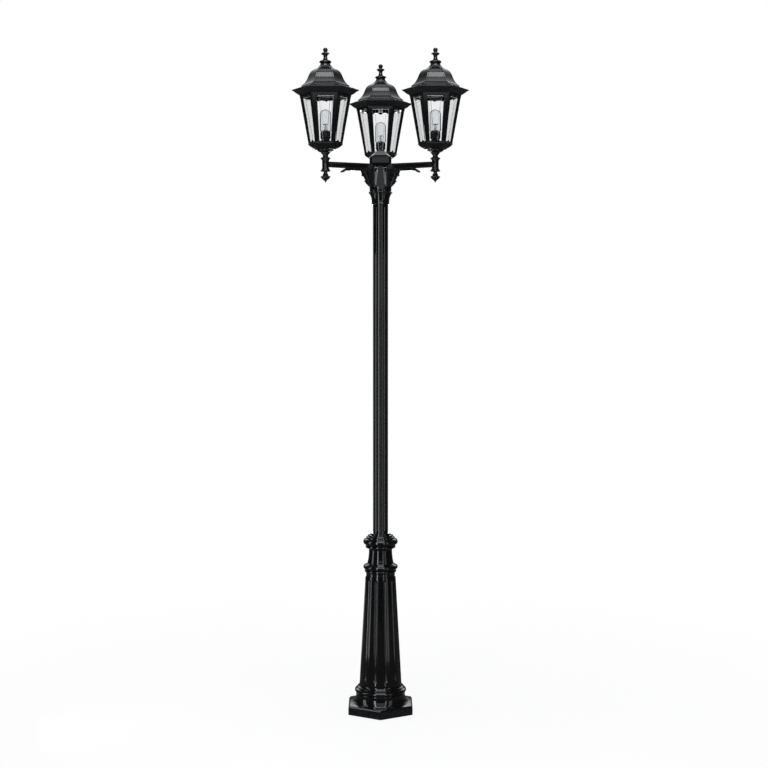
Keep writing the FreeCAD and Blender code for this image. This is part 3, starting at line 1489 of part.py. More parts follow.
def crossed_prisms(name, half_outline):
    """The solid that three upright prisms of one mirrored outline share."""
    prisms = []
    mirrored = []
    for index in range(len(half_outline) - 1, -1, -1):
        x, y = half_outline[index][:2]
        after = half_outline[index + 1] if index + 1 < len(half_outline) else None
        if after is not None and len(after) > 2:
            mirrored.append((-as_size(x), y, after[2]))
        else:
            mirrored.append((-as_size(x), y))
    points = list(half_outline) + mirrored
    for side in range(3):
        sketch = doc.addObject("Sketcher::SketchObject", f"{name}_outline_{side}")
        upright = Rotation(Vector(0, 0, 1), 60.0 * side) * Rotation(Vector(1, 0, 0), 90)
        sketch.Placement = FreeCAD.Placement(Vector(), upright)
        outline(sketch, points)
        prism = doc.addObject("Part::Extrusion", f"{name}_prism_{side}")
        prism.Base = sketch
        prism.DirMode = "Normal"
        prism.Symmetric = True
        prism.Solid = True
        prism.LengthFwd = s.eave_corner.value * 3
        bind(prism, "LengthFwd", s.eave_corner * 3.0)
        prisms.append(prism)
    shared = doc.addObject("Part::MultiCommon", name)
    shared.Shapes = prisms
    return shared


def top_finial(side, turned):
    """The turned knob that screws down on the rod and holds the roof."""
    level = s.finial_disc_height
    out = s.finial_disc_radius
    rise = [
        (s.rod_radius + s.turning_gap, 0),
        (out - 2.5, 0),
        (out, s.finial_disc_height * 0.45, 0.6),
        (out - 4.0, level, 1.2),
        (out * 0.55, level),
    ]
    level = level + s.finial_cone_height
    rise.append((s.finial_neck_radius, level, -2.0))
    level = level + s.finial_neck_height
    rise.append((s.finial_neck_radius, level))
    level = level + s.finial_flare_height
    rise.append((s.finial_ring_radius - 1.0, level, -1.0))
    level = level + s.finial_ring_height
    rise.append((s.finial_ring_radius - 4.0, level, s.finial_ring_height * 0.35))
    level = level + s.finial_throat_height
    rise.append((s.finial_throat_radius, level, -1.0))
    level = level + s.finial_ball_height
    rise.append((0, level, cap_swell(s.finial_throat_radius, s.finial_ball_height)))
    rise.append((0, s.rod_entry + 1.0))
    rise.append((s.rod_radius + s.turning_gap, s.rod_entry + 1.0))
    body = turned_body("top_finial_" + side, rise)
    x, y = arm_spot(turned)
    place(body, x, y, lantern_foot + cage_top + roof_top + s.turning_gap, turned)


# ---------------------------------------------------------------- the whole post

def build_post():
    mounting_plate()
    pedestal()
    pole_socket()
    radial_screws("socket_screws", s.plate_thickness + s.socket_height - s.set_screw_drop,
                  s.set_screw_radius, s.pole_radius + s.seat_gap,
                  s.pole_radius + s.seat_gap + s.socket_wall)
    pole()
    moulding()
    radial_screws("moulding_screws", pedestal_top + neck_screw_height(), s.set_screw_radius,
                  s.pole_radius + s.seat_gap, s.neck_head_radius - 1.0, BACK_ARM)
    supply_cable()
    hub_collar()
    radial_screws("collar_screws", collar_foot + s.collar_sink * 0.5, s.hub_screw_radius,
                  s.pole_radius + s.seat_gap, s.collar_foot_radius, BACK_ARM)
    hub_body()
    hub_screws()
    terminal_block()
    hub_cap()
    cap_knob()
    arm_bolts()
    lamp_leads()
    lock_nuts()


def build_arms():
    for side, turned in ARMS:
        arm(side, turned)
        drop_finial(side, turned)
        nipple(side, turned)


def build_lanterns():
    for side, turned in ARMS:
        bowl(side, turned)
        cage(side, turned)
        panes(side, turned)
        lampholder(side, turned)
        bulb_cap(side, turned)
        bulb_glass(side, turned)
        bulb_stem(side, turned)
        top_bridge(side, turned)
        roof(side, turned)
        top_finial(side, turned)


def check_and_write():
    """Stop on any fault, then write one file for each sub-part."""
    for item in doc.Objects:
        if "Invalid" in item.State or "Error" in item.State:
            raise RuntimeError(f"{item.Name} is not sound: {item.State}")
    os.makedirs("parts", exist_ok=True)
    for body in parts:
        shape = body.Shape
        if shape.isNull() or not shape.isValid() or not shape.Solids:
            raise RuntimeError(f"{body.Label} has no sound solid")
        shape.exportStep(f"parts/{body.Label}.step")


build_post()
build_arms()
build_lanterns()
doc.recompute()
check_and_write()
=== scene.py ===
import json
import math

import bmesh
import bpy
from mathutils import Matrix, Vector


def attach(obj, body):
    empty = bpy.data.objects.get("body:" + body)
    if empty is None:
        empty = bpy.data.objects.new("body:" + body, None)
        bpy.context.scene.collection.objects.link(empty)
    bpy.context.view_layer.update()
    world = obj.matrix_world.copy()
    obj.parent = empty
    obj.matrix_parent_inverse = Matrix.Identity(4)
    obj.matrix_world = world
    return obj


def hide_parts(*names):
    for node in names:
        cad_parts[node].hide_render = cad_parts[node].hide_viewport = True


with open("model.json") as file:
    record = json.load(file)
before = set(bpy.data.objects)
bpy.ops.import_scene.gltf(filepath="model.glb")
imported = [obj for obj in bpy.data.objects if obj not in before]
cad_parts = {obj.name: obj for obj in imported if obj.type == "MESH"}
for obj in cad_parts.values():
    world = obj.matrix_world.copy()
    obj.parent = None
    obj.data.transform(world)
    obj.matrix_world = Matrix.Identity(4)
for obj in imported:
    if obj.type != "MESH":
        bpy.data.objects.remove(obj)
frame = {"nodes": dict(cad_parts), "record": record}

# Looks for the triple head lamp post. Shapes, with the floor, are in millimetres until a mesh is
# made from them. The panel's settings, the shaders, the lights and the camera are in metres.

bl_info = {
    "name": "Garden lantern post looks",
    "version": (1, 0, 0),
    "blender": (4, 5, 0),
    "location": "3D View > Sidebar > Lantern post",
    "description": "Builds the visible pieces and finishes of a garden post with three lanterns",
    "category": "Object",
}

MM = 0.001
TINY = 1e-6
COS30 = math.cos(math.radians(30))
SIDES = {"left": 210.0, "right": 330.0, "back": 90.0}  # where each arm points, in degrees
REACH = 238.0  # from the post's axis to a lantern's
BAR_HEIGHT = 2101.7  # the middle of the arms' bars
POLE_RADIUS = 29.4
FLUTES = 12
NEARLY_STRAIGHT = math.radians(16)  # corners flatter than this aren't rounded
CORNER_SHARE = 0.45  # the most of a side that a rounded corner takes
THINNEST = 0.01  # the smallest radius of a turned ring
BALL_RINGS = 6
LEAF_COLUMNS = 6
LEAF_BACK = -0.8  # how far a leaf's flat back sinks into what it lies on
HUB_WELD = 0.00002  # metres between points of the hub's mesh that are joined


# ---------------------------------------------------------------- shapes

def arc_points(start, end, swell, steps):
    """Points after start up to end on an arc that stands off its chord, to the right of the way."""
    ax, ay = start
    bx, by = end
    dx, dy = bx - ax, by - ay
    chord = math.hypot(dx, dy)
    if abs(swell) < TINY or chord < TINY:
        return [end]
    nx, ny = dy / chord, -dx / chord
    radius = chord * chord / (8 * abs(swell)) + abs(swell) / 2
    side = 1 if swell > 0 else -1
    cx = (ax + bx) / 2 + nx * (swell - side * radius)
    cy = (ay + by) / 2 + ny * (swell - side * radius)
    first = math.atan2(ay - cy, ax - cx)
    last = math.atan2(by - cy, bx - cx)
    sweep = last - first
    while side * sweep < 0:
        sweep += side * 2 * math.pi
    points = []
    for step in range(1, steps + 1):
        angle = first + sweep * step / steps
        points.append((cx + radius * math.cos(angle), cy + radius * math.sin(angle)))
    points[-1] = end
    return points


def sampled(outline, steps=8, close=False):
    """Points of an outline of (x, y) and (x, y, swell) entries."""
    points = [tuple(outline[0][:2])]
    entries = list(outline[1:])
    if close:
        entries.append(outline[0][:2])
    for entry in entries:
        end = tuple(entry[:2])
        swell = entry[2] if len(entry) > 2 else 0.0
        points += arc_points(points[-1], end, swell, steps)
    if close:
        points.pop()
    return points


def softened(points, radius, steps=3):
    """The same line with its sharp corners rounded off."""
    result = [points[0]]
    for index in range(1, len(points) - 1):
        before, here, after = (Vector(point) for point in points[index - 1:index + 2])
        a = before - here
        b = after - here
        if a.length < TINY or b.length < TINY or abs(math.pi - a.angle(b)) < NEARLY_STRAIGHT:
            result.append(points[index])
            continue
        start = here + a.normalized() * min(radius, a.length * CORNER_SHARE)
        end = here + b.normalized() * min(radius, b.length * CORNER_SHARE)
        for step in range(steps + 1):
            t = step / steps
            spot = start * (1 - t) ** 2 + here * 2 * t * (1 - t) + end * t * t
            result.append((spot.x, spot.y))
    result.append(points[-1])
    return result


def flowing(points, steps):
    """A smooth line through all the points."""
    line = [points[0]]
    ends = [points[0]] + list(points) + [points[-1]]
    for index in range(len(points) - 1):
        a, b, c, d = ends[index:index + 4]
        for step in range(1, steps + 1):
            t = step / steps
            line.append(tuple(
                0.5 * (2 * q + (r - p) * t + (2 * p - 5 * q + 4 * r - s) * t * t
                       + (3 * q - p - 3 * r + s) * t ** 3)
                for p, q, r, s in zip(a, b, c, d)))
    return line


def mesh_piece(name, vertices, faces, sharp=35.0, place=None):
    """A mesh object from points in millimetres, with edges past the sharp angle kept crisp."""
    mesh = bpy.data.meshes.new(name)
    mesh.from_pydata([Vector(v) * MM for v in vertices], [], faces)
    work = bmesh.new()
    work.from_mesh(mesh)
    bmesh.ops.remove_doubles(work, verts=work.verts, dist=TINY)
    bmesh.ops.recalc_face_normals(work, faces=work.faces)
    for face in work.faces:
        face.smooth = True
    for edge in work.edges:
        edge.smooth = edge.calc_face_angle(0.0) < math.radians(sharp)
    work.to_mesh(mesh)
    work.free()
    if place is not None:
        mesh.transform(place)
    mesh.update()
    piece = bpy.data.objects.new(name, mesh)
    bpy.context.scene.collection.objects.link(piece)
    return piece


def bridge(rings, closed_ends=(True, True)):
    """Vertices and faces of rings joined one after another."""
    vertices = [point for ring in rings for point in ring]
    size = len(rings[0])
    faces = []
    for low in range(0, len(vertices) - size, size):
        high = low + size
        for index in range(size):
            after = (index + 1) % size
            faces.append((low + index, low + after, high + after, high + index))
    if closed_ends[0]:
        faces.append(tuple(reversed(range(size))))
    if closed_ends[1]:
        faces.append(tuple(range(len(vertices) - size, len(vertices))))
    return vertices, faces


def lathed(profile, segments=72, inset=None, angles=None):
    """A turned surface. The inset, if given, says how deep a cut is at an angle and height."""
    angles = angles or [2 * math.pi * index / segments for index in range(segments)]
    rings = []
    for radius, height in profile:
        ring = []
        for angle in angles:
            turn = angle(radius) if callable(angle) else angle
            depth = inset(turn, radius, height) if inset else 0.0
            out = max(radius - depth, THINNEST)
            ring.append((out * math.cos(turn), out * math.sin(turn), height))
        rings.append(ring)
    return bridge(rings, tuple(profile[end][0] > 2 * THINNEST for end in (0, -1)))


def turned(name, outline, segments, soft, steps, place=None):
    """A turned piece from an outline of radii and heights."""
    profile = softened(sampled(outline, steps), soft)
    return mesh_piece(name, *lathed(profile, segments), place=place)


def hexagon(corner, height):
    """A hexagon's corners, with a flat side towards +X."""
    angles = [math.radians(30 + 60 * index) for index in range(6)]
    return [(corner * math.cos(angle), corner * math.sin(angle), height) for angle in angles]


def plate(outline, thickness, steps):
    """A flat plate in the XZ plane, centred on Y."""
    line = sampled(outline, steps, close=True)
    return bridge([[(x, y, z) for x, z in line] for y in (-thickness / 2, thickness / 2)])


def merged(shapes):
    """Several lists of vertices and faces as one."""
    vertices = []
    faces = []
    for more_vertices, more_faces in shapes:
        start = len(vertices)
        vertices += more_vertices
        faces += [tuple(index + start for index in face) for face in more_faces]
    return vertices, faces


def moved(shape, matrix):
    """A shape's vertices moved by a matrix in millimetres."""
    vertices, faces = shape
    return [tuple(matrix @ Vector(v)) for v in vertices], faces


def around(shape, count, start=0.0, place=Matrix()):
    """Copies of a shape that a matrix has set, round the vertical axis."""
    copies = []
    for index in range(count):
        turn = Matrix.Rotation(math.radians(start + 360 / count * index), 4, "Z")
        copies.append(moved(shape, turn @ place))
    return merged(copies)


def ball(radius, at, stretch, segments):
    """A round bead."""
    profile = []
    for index in range(BALL_RINGS + 1):
        angle = -math.pi / 2 + math.pi * index / BALL_RINGS
        profile.append((max(radius * math.cos(angle), 0.001), radius * math.sin(angle)))
    vertices, faces = lathed(profile, segments)
    cx, cy, cz = at
    sx, sy, sz = stretch
    return [(x * sx + cx, y * sy + cy, z * sz + cz) for x, y, z in vertices], faces


def leaf(length, width, height, rows=8):
    """A leaf lying in the YZ plane and standing out to +X, with a middle vein."""
    across = [-1 + 2 * column / LEAF_COLUMNS for column in range(LEAF_COLUMNS + 1)]
    rings = []
    for row in range(rows + 1):
        t = row / rows
        half = width / 2 * math.sin(math.pi * min(0.06 + 0.94 * t, 1.0)) ** 0.75
        half = max(half, 0.15)
        ring = []
        for u in across:
            crown = height * (1 - u * u) ** 0.6 * math.sin(math.pi * (0.08 + 0.84 * t))
            vein = 0.45 * height * math.exp(-(u * 5) ** 2) * math.sin(math.pi * t)
            ring.append((crown - vein, u * half, t * length))
        ring += [(LEAF_BACK, u * half, t * length) for u in reversed(across)]
        rings.append(ring)
    return bridge(rings)


def to_lantern(side):
    """From a lantern's own axes, +X away from the post, to the post's frame."""
    return arm_turn(side) @ Matrix.Translation((REACH * MM, 0, 0))


def arm_turn(side):
    """From an arm's own axes, +X along the arm, to the post's frame."""
    return Matrix.Rotation(math.radians(SIDES[side]), 4, "Z")


def bevelled(piece, width, angle=35.0, weld=False):
    """Soft cast edges as modifiers."""
    if weld:
        joined = piece.modifiers.new("joined", "WELD")
        joined.merge_threshold = HUB_WELD
    edges = piece.modifiers.new("soft_edges", "BEVEL")
    edges.width = width * MM
    edges.segments = 2
    edges.limit_method = "ANGLE"
    edges.angle_limit = math.radians(angle)
    edges.harden_normals = True
    edges.use_clamp_overlap = True


def finish(piece, body, slot, *nodes, look=None):
    """Gives a piece its body, hides the nodes it stands for and gives it the slot's or another
    look.
    """
    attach(piece, body)
    if nodes:
        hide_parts(*nodes)
    piece.data.materials.clear()
    piece.data.materials.append(finishes()[look or slot])


def carry(name, look):
    """A CAD node that stays in view with a better finish."""
    piece = frame["nodes"][name]
    material = finishes()[look]
    if not piece.material_slots:
        piece.data.materials.append(material)
    for place in piece.material_slots:
        place.link = "OBJECT"
        place.material = material
    return piece


# ---------------------------------------------------------------- shader groups

COLOUR_MIX_INPUTS = (0, 6, 7)  # the factor and the two colours of a colour mix node
COLOUR_MIX_RESULT = 2

def new_group(name, inputs, outputs):
    """A shader group with float inputs and outputs, or the one built before."""
    group = bpy.data.node_groups.get(name)
    if group:
        return group, False
    group = bpy.data.node_groups.new(name, "ShaderNodeTree")
    for label, default in inputs:
        socket = group.interface.new_socket(label, in_out="INPUT", socket_type="NodeSocketFloat")
        socket.default_value = default
    for label, kind in outputs:
        group.interface.new_socket(label, in_out="OUTPUT", socket_type=kind)
    return group, True


def node(tree, kind, **settings):
    """A node with its settings."""
    made = tree.nodes.new(kind)
    for key, value in settings.items():
        setattr(made, key, value)
    return made


def feed(tree, value, socket):
    """Sets a socket to a plain value, or links another node's output to it."""
    if isinstance(value, bpy.types.NodeSocket):
        tree.links.new(value, socket)
    else:
        socket.default_value = value


def math_node(tree, operation, first, second, clamp=False):
    """A maths node fed by sockets or plain numbers."""
    made = node(tree, "ShaderNodeMath", operation=operation, use_clamp=clamp)
    feed(tree, first, made.inputs[0])
    feed(tree, second, made.inputs[1])
    return made.outputs[0]


def ranged(tree, value, low, high, new_low, new_high):
    """A clamped map from one range to another."""
    made = node(tree, "ShaderNodeMapRange", clamp=True)
    tree.links.new(value, made.inputs["Value"])
    for label, limit in (("From Min", low), ("From Max", high), ("To Min", new_low),
                         ("To Max", new_high)):
        made.inputs[label].default_value = limit
    return made.outputs["Result"]


def noise(tree, scale, detail=3.0, rough=0.5, stretch=None):
    """Noise over the object's own coordinates."""
    place = node(tree, "ShaderNodeTexCoord").outputs["Object"]
    if stretch:
        mapping = node(tree, "ShaderNodeMapping")
        mapping.inputs["Scale"].default_value = stretch
        tree.links.new(place, mapping.inputs["Vector"])
        place = mapping.outputs["Vector"]
    made = node(tree, "ShaderNodeTexNoise")
    made.inputs["Scale"].default_value = scale
    made.inputs["Detail"].default_value = detail
    made.inputs["Roughness"].default_value = rough
    tree.links.new(place, made.inputs["Vector"])
    return made.outputs["Fac"]


def cast_relief_group():
    """Height of a powder-coated casting: fine orange peel over slow sand-cast waves."""
    group, fresh = new_group("cast_relief", [("Peel", 0.5), ("Waves", 0.5)],
                             [("Height", "NodeSocketFloat")])
    if fresh:
        source = node(group, "NodeGroupInput")
        out = node(group, "NodeGroupOutput")
        peel = math_node(group, "MULTIPLY", noise(group, 900.0, 2.0), source.outputs["Peel"])
        waves = math_node(group, "MULTIPLY", noise(group, 60.0, 4.0, 0.6), source.outputs["Waves"])
        total = math_node(group, "ADD", peel, waves)
        group.links.new(total, out.inputs["Height"])
    return group


def edge_wear_group():
    """A mask that is 1 on worn edges and 0 on flats."""
    group, fresh = new_group("edge_wear", [("Amount", 0.5)], [("Mask", "NodeSocketFloat")])
    if fresh:
        source = node(group, "NodeGroupInput")
        out = node(group, "NodeGroupOutput")
        pointy = node(group, "ShaderNodeNewGeometry").outputs["Pointiness"]
        edge = ranged(group, pointy, 0.54, 0.66, 0.0, 1.0)
        broken = ranged(group, noise(group, 140.0, 5.0, 0.7), 0.42, 0.62, 0.0, 1.0)
        mask = math_node(group, "MULTIPLY", edge, broken)
        mask = math_node(group, "MULTIPLY", mask, source.outputs["Amount"], clamp=True)
        group.links.new(mask, out.inputs["Mask"])
    return group


def dust_group():
    """A mask of fine dust: in hollows, and where faces look up."""
    group, fresh = new_group("dust", [("Amount", 0.5)], [("Mask", "NodeSocketFloat")])
    if fresh:
        source = node(group, "NodeGroupInput")
        out = node(group, "NodeGroupOutput")
        geometry = node(group, "ShaderNodeNewGeometry")
        hollow = ranged(group, geometry.outputs["Pointiness"], 0.36, 0.45, 1.0, 0.0)
        split = node(group, "ShaderNodeSeparateXYZ")
        group.links.new(geometry.outputs["Normal"], split.inputs["Vector"])
        up = ranged(group, split.outputs["Z"], 0.3, 1.0, 0.0, 0.7)
        both = math_node(group, "MAXIMUM", hollow, up)
        patchy = ranged(group, noise(group, 45.0, 4.0, 0.5), 0.25, 0.75, 0.5, 1.0)
        mask = math_node(group, "MULTIPLY", both, patchy)
        mask = math_node(group, "MULTIPLY", mask, source.outputs["Amount"], clamp=True)
        group.links.new(mask, out.inputs["Mask"])
    return group


def use_group(tree, group, **values):
    """A group node in a material, with its inputs set."""
    made = node(tree, "ShaderNodeGroup", node_tree=group)
    for label, value in values.items():
        made.inputs[label].default_value = value
    return made


def blank_material(name):
    """A new node material with only its shader and its output."""
    material = bpy.data.materials.new(name)
    material.use_nodes = True
    return material, material.node_tree, material.node_tree.nodes["Principled BSDF"]


def mixed(tree, mask, first, second):
    """One colour turning into another as a mask rises."""
    made = node(tree, "ShaderNodeMix", data_type="RGBA")
    for index, value in zip(COLOUR_MIX_INPUTS, (mask, first, second)):
        feed(tree, value, made.inputs[index])
    return made.outputs[COLOUR_MIX_RESULT]


def blended(tree, mask, first, second):
    """One shader turning into another as a mask rises."""
    made = node(tree, "ShaderNodeMixShader")
    for socket, value in zip(made.inputs, (mask, first, second)):
        tree.links.new(value, socket)
    return made.outputs[0]


def add_bump(tree, shader, height, strength, distance):
    """A bump from a height."""
    bump = node(tree, "ShaderNodeBump")
    bump.inputs["Strength"].default_value = strength
    bump.inputs["Distance"].default_value = distance
    tree.links.new(height, bump.inputs["Height"])
    tree.links.new(bump.outputs["Normal"], shader.inputs["Normal"])


# ---------------------------------------------------------------- materials

WORN_COLOUR = (0.085, 0.088, 0.095, 1.0)
DUST_COLOUR = (0.045, 0.047, 0.051, 1.0)
DUST_ROUGHNESS = 0.25
SHADOW_CLEARNESS = 0.85  # how much of the light glass lets past it in a shadow

def black_coat(name, colour, rough, peel, waves, dust, wear, gloss=1.0, film=0.04):
    """Black powder coat over a casting: gloss is its clear layer's weight, film its roughness."""
    material, tree, shader = blank_material(name)
    relief = use_group(tree, cast_relief_group(), Peel=peel, Waves=waves)
    worn = use_group(tree, edge_wear_group(), Amount=wear * looks().wear)
    dusty = use_group(tree, dust_group(), Amount=dust * looks().wear)
    tint = ranged(tree, noise(tree, 18.0, 4.0), 0.3, 0.7, 0.0, 1.0)
    lighter = tuple(min(c * 1.5 + 0.0006, 1.0) for c in colour[:3]) + (1.0,)
    base = mixed(tree, tint, colour, lighter)
    base = mixed(tree, worn.outputs["Mask"], base, WORN_COLOUR)
    base = mixed(tree, dusty.outputs["Mask"], base, DUST_COLOUR)
    tree.links.new(base, shader.inputs["Base Color"])
    spread = ranged(tree, noise(tree, 75.0, 5.0, 0.6), 0.3, 0.7, rough * 0.75, rough * 1.3)
    dull = math_node(tree, "MULTIPLY", dusty.outputs["Mask"], DUST_ROUGHNESS)
    spread = math_node(tree, "ADD", spread, dull, clamp=True)
    tree.links.new(spread, shader.inputs["Roughness"])
    shader.inputs["Coat Weight"].default_value = gloss
    shader.inputs["Coat Roughness"].default_value = film
    shader.inputs["Specular IOR Level"].default_value = 0.5
    add_bump(tree, shader, relief.outputs["Height"], 0.12, 0.00025)
    return material


def plated(name, colour, rough=0.35):
    """Plated metal with a faint spangle and fine drawn lines."""
    material, tree, shader = blank_material(name)
    spangle = node(tree, "ShaderNodeTexVoronoi")
    spangle.inputs["Scale"].default_value = 120.0
    tree.links.new(node(tree, "ShaderNodeTexCoord").outputs["Object"], spangle.inputs["Vector"])
    tone = ranged(tree, spangle.outputs["Distance"], 0.0, 0.8, 0.0, 1.0)
    darker = tuple(c * 0.72 for c in colour[:3]) + (1.0,)
    tree.links.new(mixed(tree, tone, darker, colour), shader.inputs["Base Color"])
    lines = noise(tree, 600.0, 3.0, 0.5, (1.0, 1.0, 0.05))
    tree.links.new(ranged(tree, lines, 0.3, 0.7, rough * 0.7, rough * 1.3),
                   shader.inputs["Roughness"])
    shader.inputs["Metallic"].default_value = 1.0
    add_bump(tree, shader, lines, 0.15, 0.0002)
    return material


def moulded(name, colour, rough, gloss=0.0, clear=0.0):
    """Moulded plastic, rubber, pressed glass, or a pale grey that paints sheen, with a fine grain.
    """
    material, tree, shader = blank_material(name)
    grain = noise(tree, 420.0, 4.0, 0.6)
    lighter = tuple(min(c * 1.35 + 0.004, 1.0) for c in colour[:3]) + (1.0,)
    tree.links.new(mixed(tree, ranged(tree, noise(tree, 30.0), 0.3, 0.7, 0.0, 1.0), colour,
                         lighter), shader.inputs["Base Color"])
    tree.links.new(ranged(tree, grain, 0.3, 0.7, rough * 0.8, rough * 1.2),
                   shader.inputs["Roughness"])
    shader.inputs["Coat Weight"].default_value = gloss
    shader.inputs["Transmission Weight"].default_value = clear
    add_bump(tree, shader, grain, 0.2, 0.0002)
    return material


def clear_glass(name, colour, rough, waves, film):
    """Clear glass with slight ripples, a thin film of dust and a light shadow."""
    material, tree, shader = blank_material(name)
    ripple = noise(tree, 14.0, 2.0, 0.4)
    smear = ranged(tree, noise(tree, 55.0, 5.0, 0.6), 0.45, 0.75, 0.0, 1.0)
    dull = tuple(c * 0.965 for c in colour[:3]) + (1.0,)
    tree.links.new(mixed(tree, smear, colour, dull), shader.inputs["Base Color"])
    tree.links.new(ranged(tree, smear, 0.0, 1.0, rough, rough + film),
                   shader.inputs["Roughness"])
    shader.inputs["Transmission Weight"].default_value = 1.0
    shader.inputs["IOR"].default_value = 1.45
    shadow = node(tree, "ShaderNodeLightPath").outputs["Is Shadow Ray"]
    solid = math_node(tree, "SUBTRACT", 1.0,
                      math_node(tree, "MULTIPLY", shadow, SHADOW_CLEARNESS))
    tree.links.new(solid, shader.inputs["Alpha"])
    add_bump(tree, shader, ripple, waves, 0.0008)
    return material


FINISHES = {}


def looks():
    """The settings of the panel."""
    return bpy.context.scene.post_looks


def finishes():
    """All the object's finishes, built once."""
    if FINISHES:
        return FINISHES
    black = (*looks().coat_colour, 1.0)
    FINISHES.update({
        "pedestal_paint": black_coat("pedestal_coat", black, 0.11, 0.12, 0.25, 0.03, 0.15),
        "pole_paint": black_coat("pole_coat", black, 0.10, 0.04, 0.08, 0.03, 0.1),
        "casting_paint": black_coat("turned_coat", black, 0.10, 0.08, 0.15, 0.04, 0.15),
        "arm_paint": black_coat("arm_coat", black, 0.13, 0.2, 0.25, 0.04, 0.2),
        "lantern_paint": black_coat("lantern_coat", black, 0.12, 0.2, 0.25, 0.04, 0.2),
        "roof_paint": black_coat("roof_coat", (*looks().roof_colour, 1.0), 0.22, 0.25, 0.5,
                                 0.06, 0.3, 0.5, 0.09),
        "plated_steel": plated("zinc_plate", (0.62, 0.63, 0.65, 1.0)),
        "screw_steel": plated("zinc_screws", (0.5, 0.5, 0.52, 1.0), 0.3),
        "cable_sheath": moulded("black_sheath", (0.02, 0.02, 0.02, 1.0), 0.6),
        "lead_sheath": moulded("pale_lead", (0.7, 0.7, 0.67, 1.0), 0.5),
        "terminal_plastic": moulded("cream_plastic", (0.75, 0.71, 0.62, 1.0), 0.45),
        # a pale grey for the hub slopes: painted sheen standing in for the light they reflect
        "slope_painted_sheen": moulded("pale_painted_sheen", (0.15, 0.165, 0.185, 1.0), 0.5),
        "holder_plastic": moulded("holder_black", (0.012, 0.014, 0.016, 1.0), 0.2, 0.6),
        "pane_glass": clear_glass("pane_clear", (*looks().pane_colour, 1.0), 0.0, 0.012, 0.008),
        "bulb_glass": clear_glass("bulb_clear", (*looks().bulb_colour, 1.0), 0.02, 0.03, 0.03),
        "bulb_metal": plated("bulb_cap_metal", (0.74, 0.71, 0.62, 1.0), 0.25),
        "bulb_stem": moulded("bulb_warm", (0.90, 0.80, 0.72, 1.0), 0.35, 0.3, 0.6),
        # grey glass on the pane grooves: painted shade that draws the line a bevel shows
        "bevel_line_shade": clear_glass("pane_bevel_painted_shade", (0.52, 0.56, 0.60, 1.0), 0.0, 0.012, 0.008),
    })
    return FINISHES


# ---------------------------------------------------------------- post pieces

CHANNEL_EDGE = 1.06  # in half widths of a channel: just past its edge
CHANNEL_SHARES = (-CHANNEL_EDGE, -1.0, -0.86, -0.62, -0.33, 0.0, 0.33, 0.62, 0.86, 1.0,
                  CHANNEL_EDGE)

def flute_angles(first, half_width):
    """Angles that follow the edges of round channels, as functions of the radius."""
    angles = []
    gap = math.pi / FLUTES
    for index in range(FLUTES):
        middle = math.radians(first + 360 / FLUTES * index)
        for share in CHANNEL_SHARES:
            angles.append(lambda radius, m=middle, s=share: m + s * half_width / radius)
        for share in (0.25, 0.5, 0.75):
            angles.append(lambda radius, m=middle, s=share:
                          m + CHANNEL_EDGE * half_width / radius
                          + s * 2 * (gap - CHANNEL_EDGE * half_width / radius))
    return angles


def flute_inset(first, half_width, depth, low, high):
    """The depth of round-ended channels between two heights."""
    def inset(turn, radius, height):
        step = 360 / FLUTES
        off = (math.degrees(turn) - first + step / 2) % step - step / 2
        across = math.radians(off) * radius
        along = max(0.0, low + half_width - height, height - (high - half_width))
        away = math.hypot(across, along) / half_width
        return depth * (1 - away * away) if away < 1 else 0.0
    return inset


def fluted(rows, first, half_width, depth, low, high):
    """A turned surface with channels between two heights."""
    return lathed(rows, inset=flute_inset(first, half_width, depth, low, high),
                  angles=flute_angles(first, half_width))


def fluted_rows(low, high, half_width, radius_at, rows=10):
    """Profile rows of a fluted length, close together at the channels' ends."""
    heights = set()
    for step in range(9):
        share = 1 - math.cos(math.pi / 2 * step / 8)
        heights.add(low + half_width * share)
        heights.add(high - half_width * share)
    for step in range(1, rows):
        heights.add(low + half_width + (high - low - 2 * half_width) * step / rows)
    return [(radius_at(height), height) for height in sorted(heights)]


def plinth_shape():
    """The six-sided foot with a small step and a bevelled top."""
    levels = [(142.5, 0.0), (142.5, 26.0), (142.0, 27.4), (140.6, 29.0), (137.6, 32.6),
              (136.2, 33.8), (134.6, 34.0), (96.0, 34.2)]
    return bridge([hexagon(corner, height) for corner, height in levels])


def build_pedestal():
    low, high, half = 125.0, 516.0, 7.4
    foot_radius, foot_height = 81.3, 108.0
    head_radius, head_height = 58.4, 526.0

    def radius_at(height):
        return (foot_radius + (head_radius - foot_radius) * (height - foot_height)
                / (head_height - foot_height))

    rows = softened(sampled([(98.0, 33.0), (106.5, 33.6), (106.5, 36.6), (104.0, 38.0),
                             (95.0, 70.5, -3.4), (93.0, 72.0), (93.0, 74.0), (93.5, 89.0, 6.4),
                             (90.5, 91.0), (89.0, 92.0), (89.0, 96.0, 1.4),
                             (81.6, foot_height, -3.2)], 10), 0.9)
    rows.append((radius_at(112.0), 112.0))
    rows += fluted_rows(low, high, half, radius_at)
    rows += [(radius_at(521.0), 521.0), (head_radius, head_height), (52.0, head_height)]
    shaft = fluted(rows, 15.0, half, 4.2, low, high)
    piece = mesh_piece("pedestal_look", *merged([plinth_shape(), shaft]), 38.0)
    finish(piece, "post", "pedestal_paint", "pedestal")


def build_pole():
    low, high, half = 702.0, 1951.0, 3.3
    rows = [(POLE_RADIUS, 10.5), (POLE_RADIUS, 600.0)]
    rows += fluted_rows(low, high, half, lambda height: POLE_RADIUS, 24)
    rows.append((POLE_RADIUS, 1989.5))
    piece = mesh_piece("pole_look", *fluted(rows, 0.0, half, 2.4, low, high), 38.0)
    finish(piece, "post", "pole_paint", "pole")


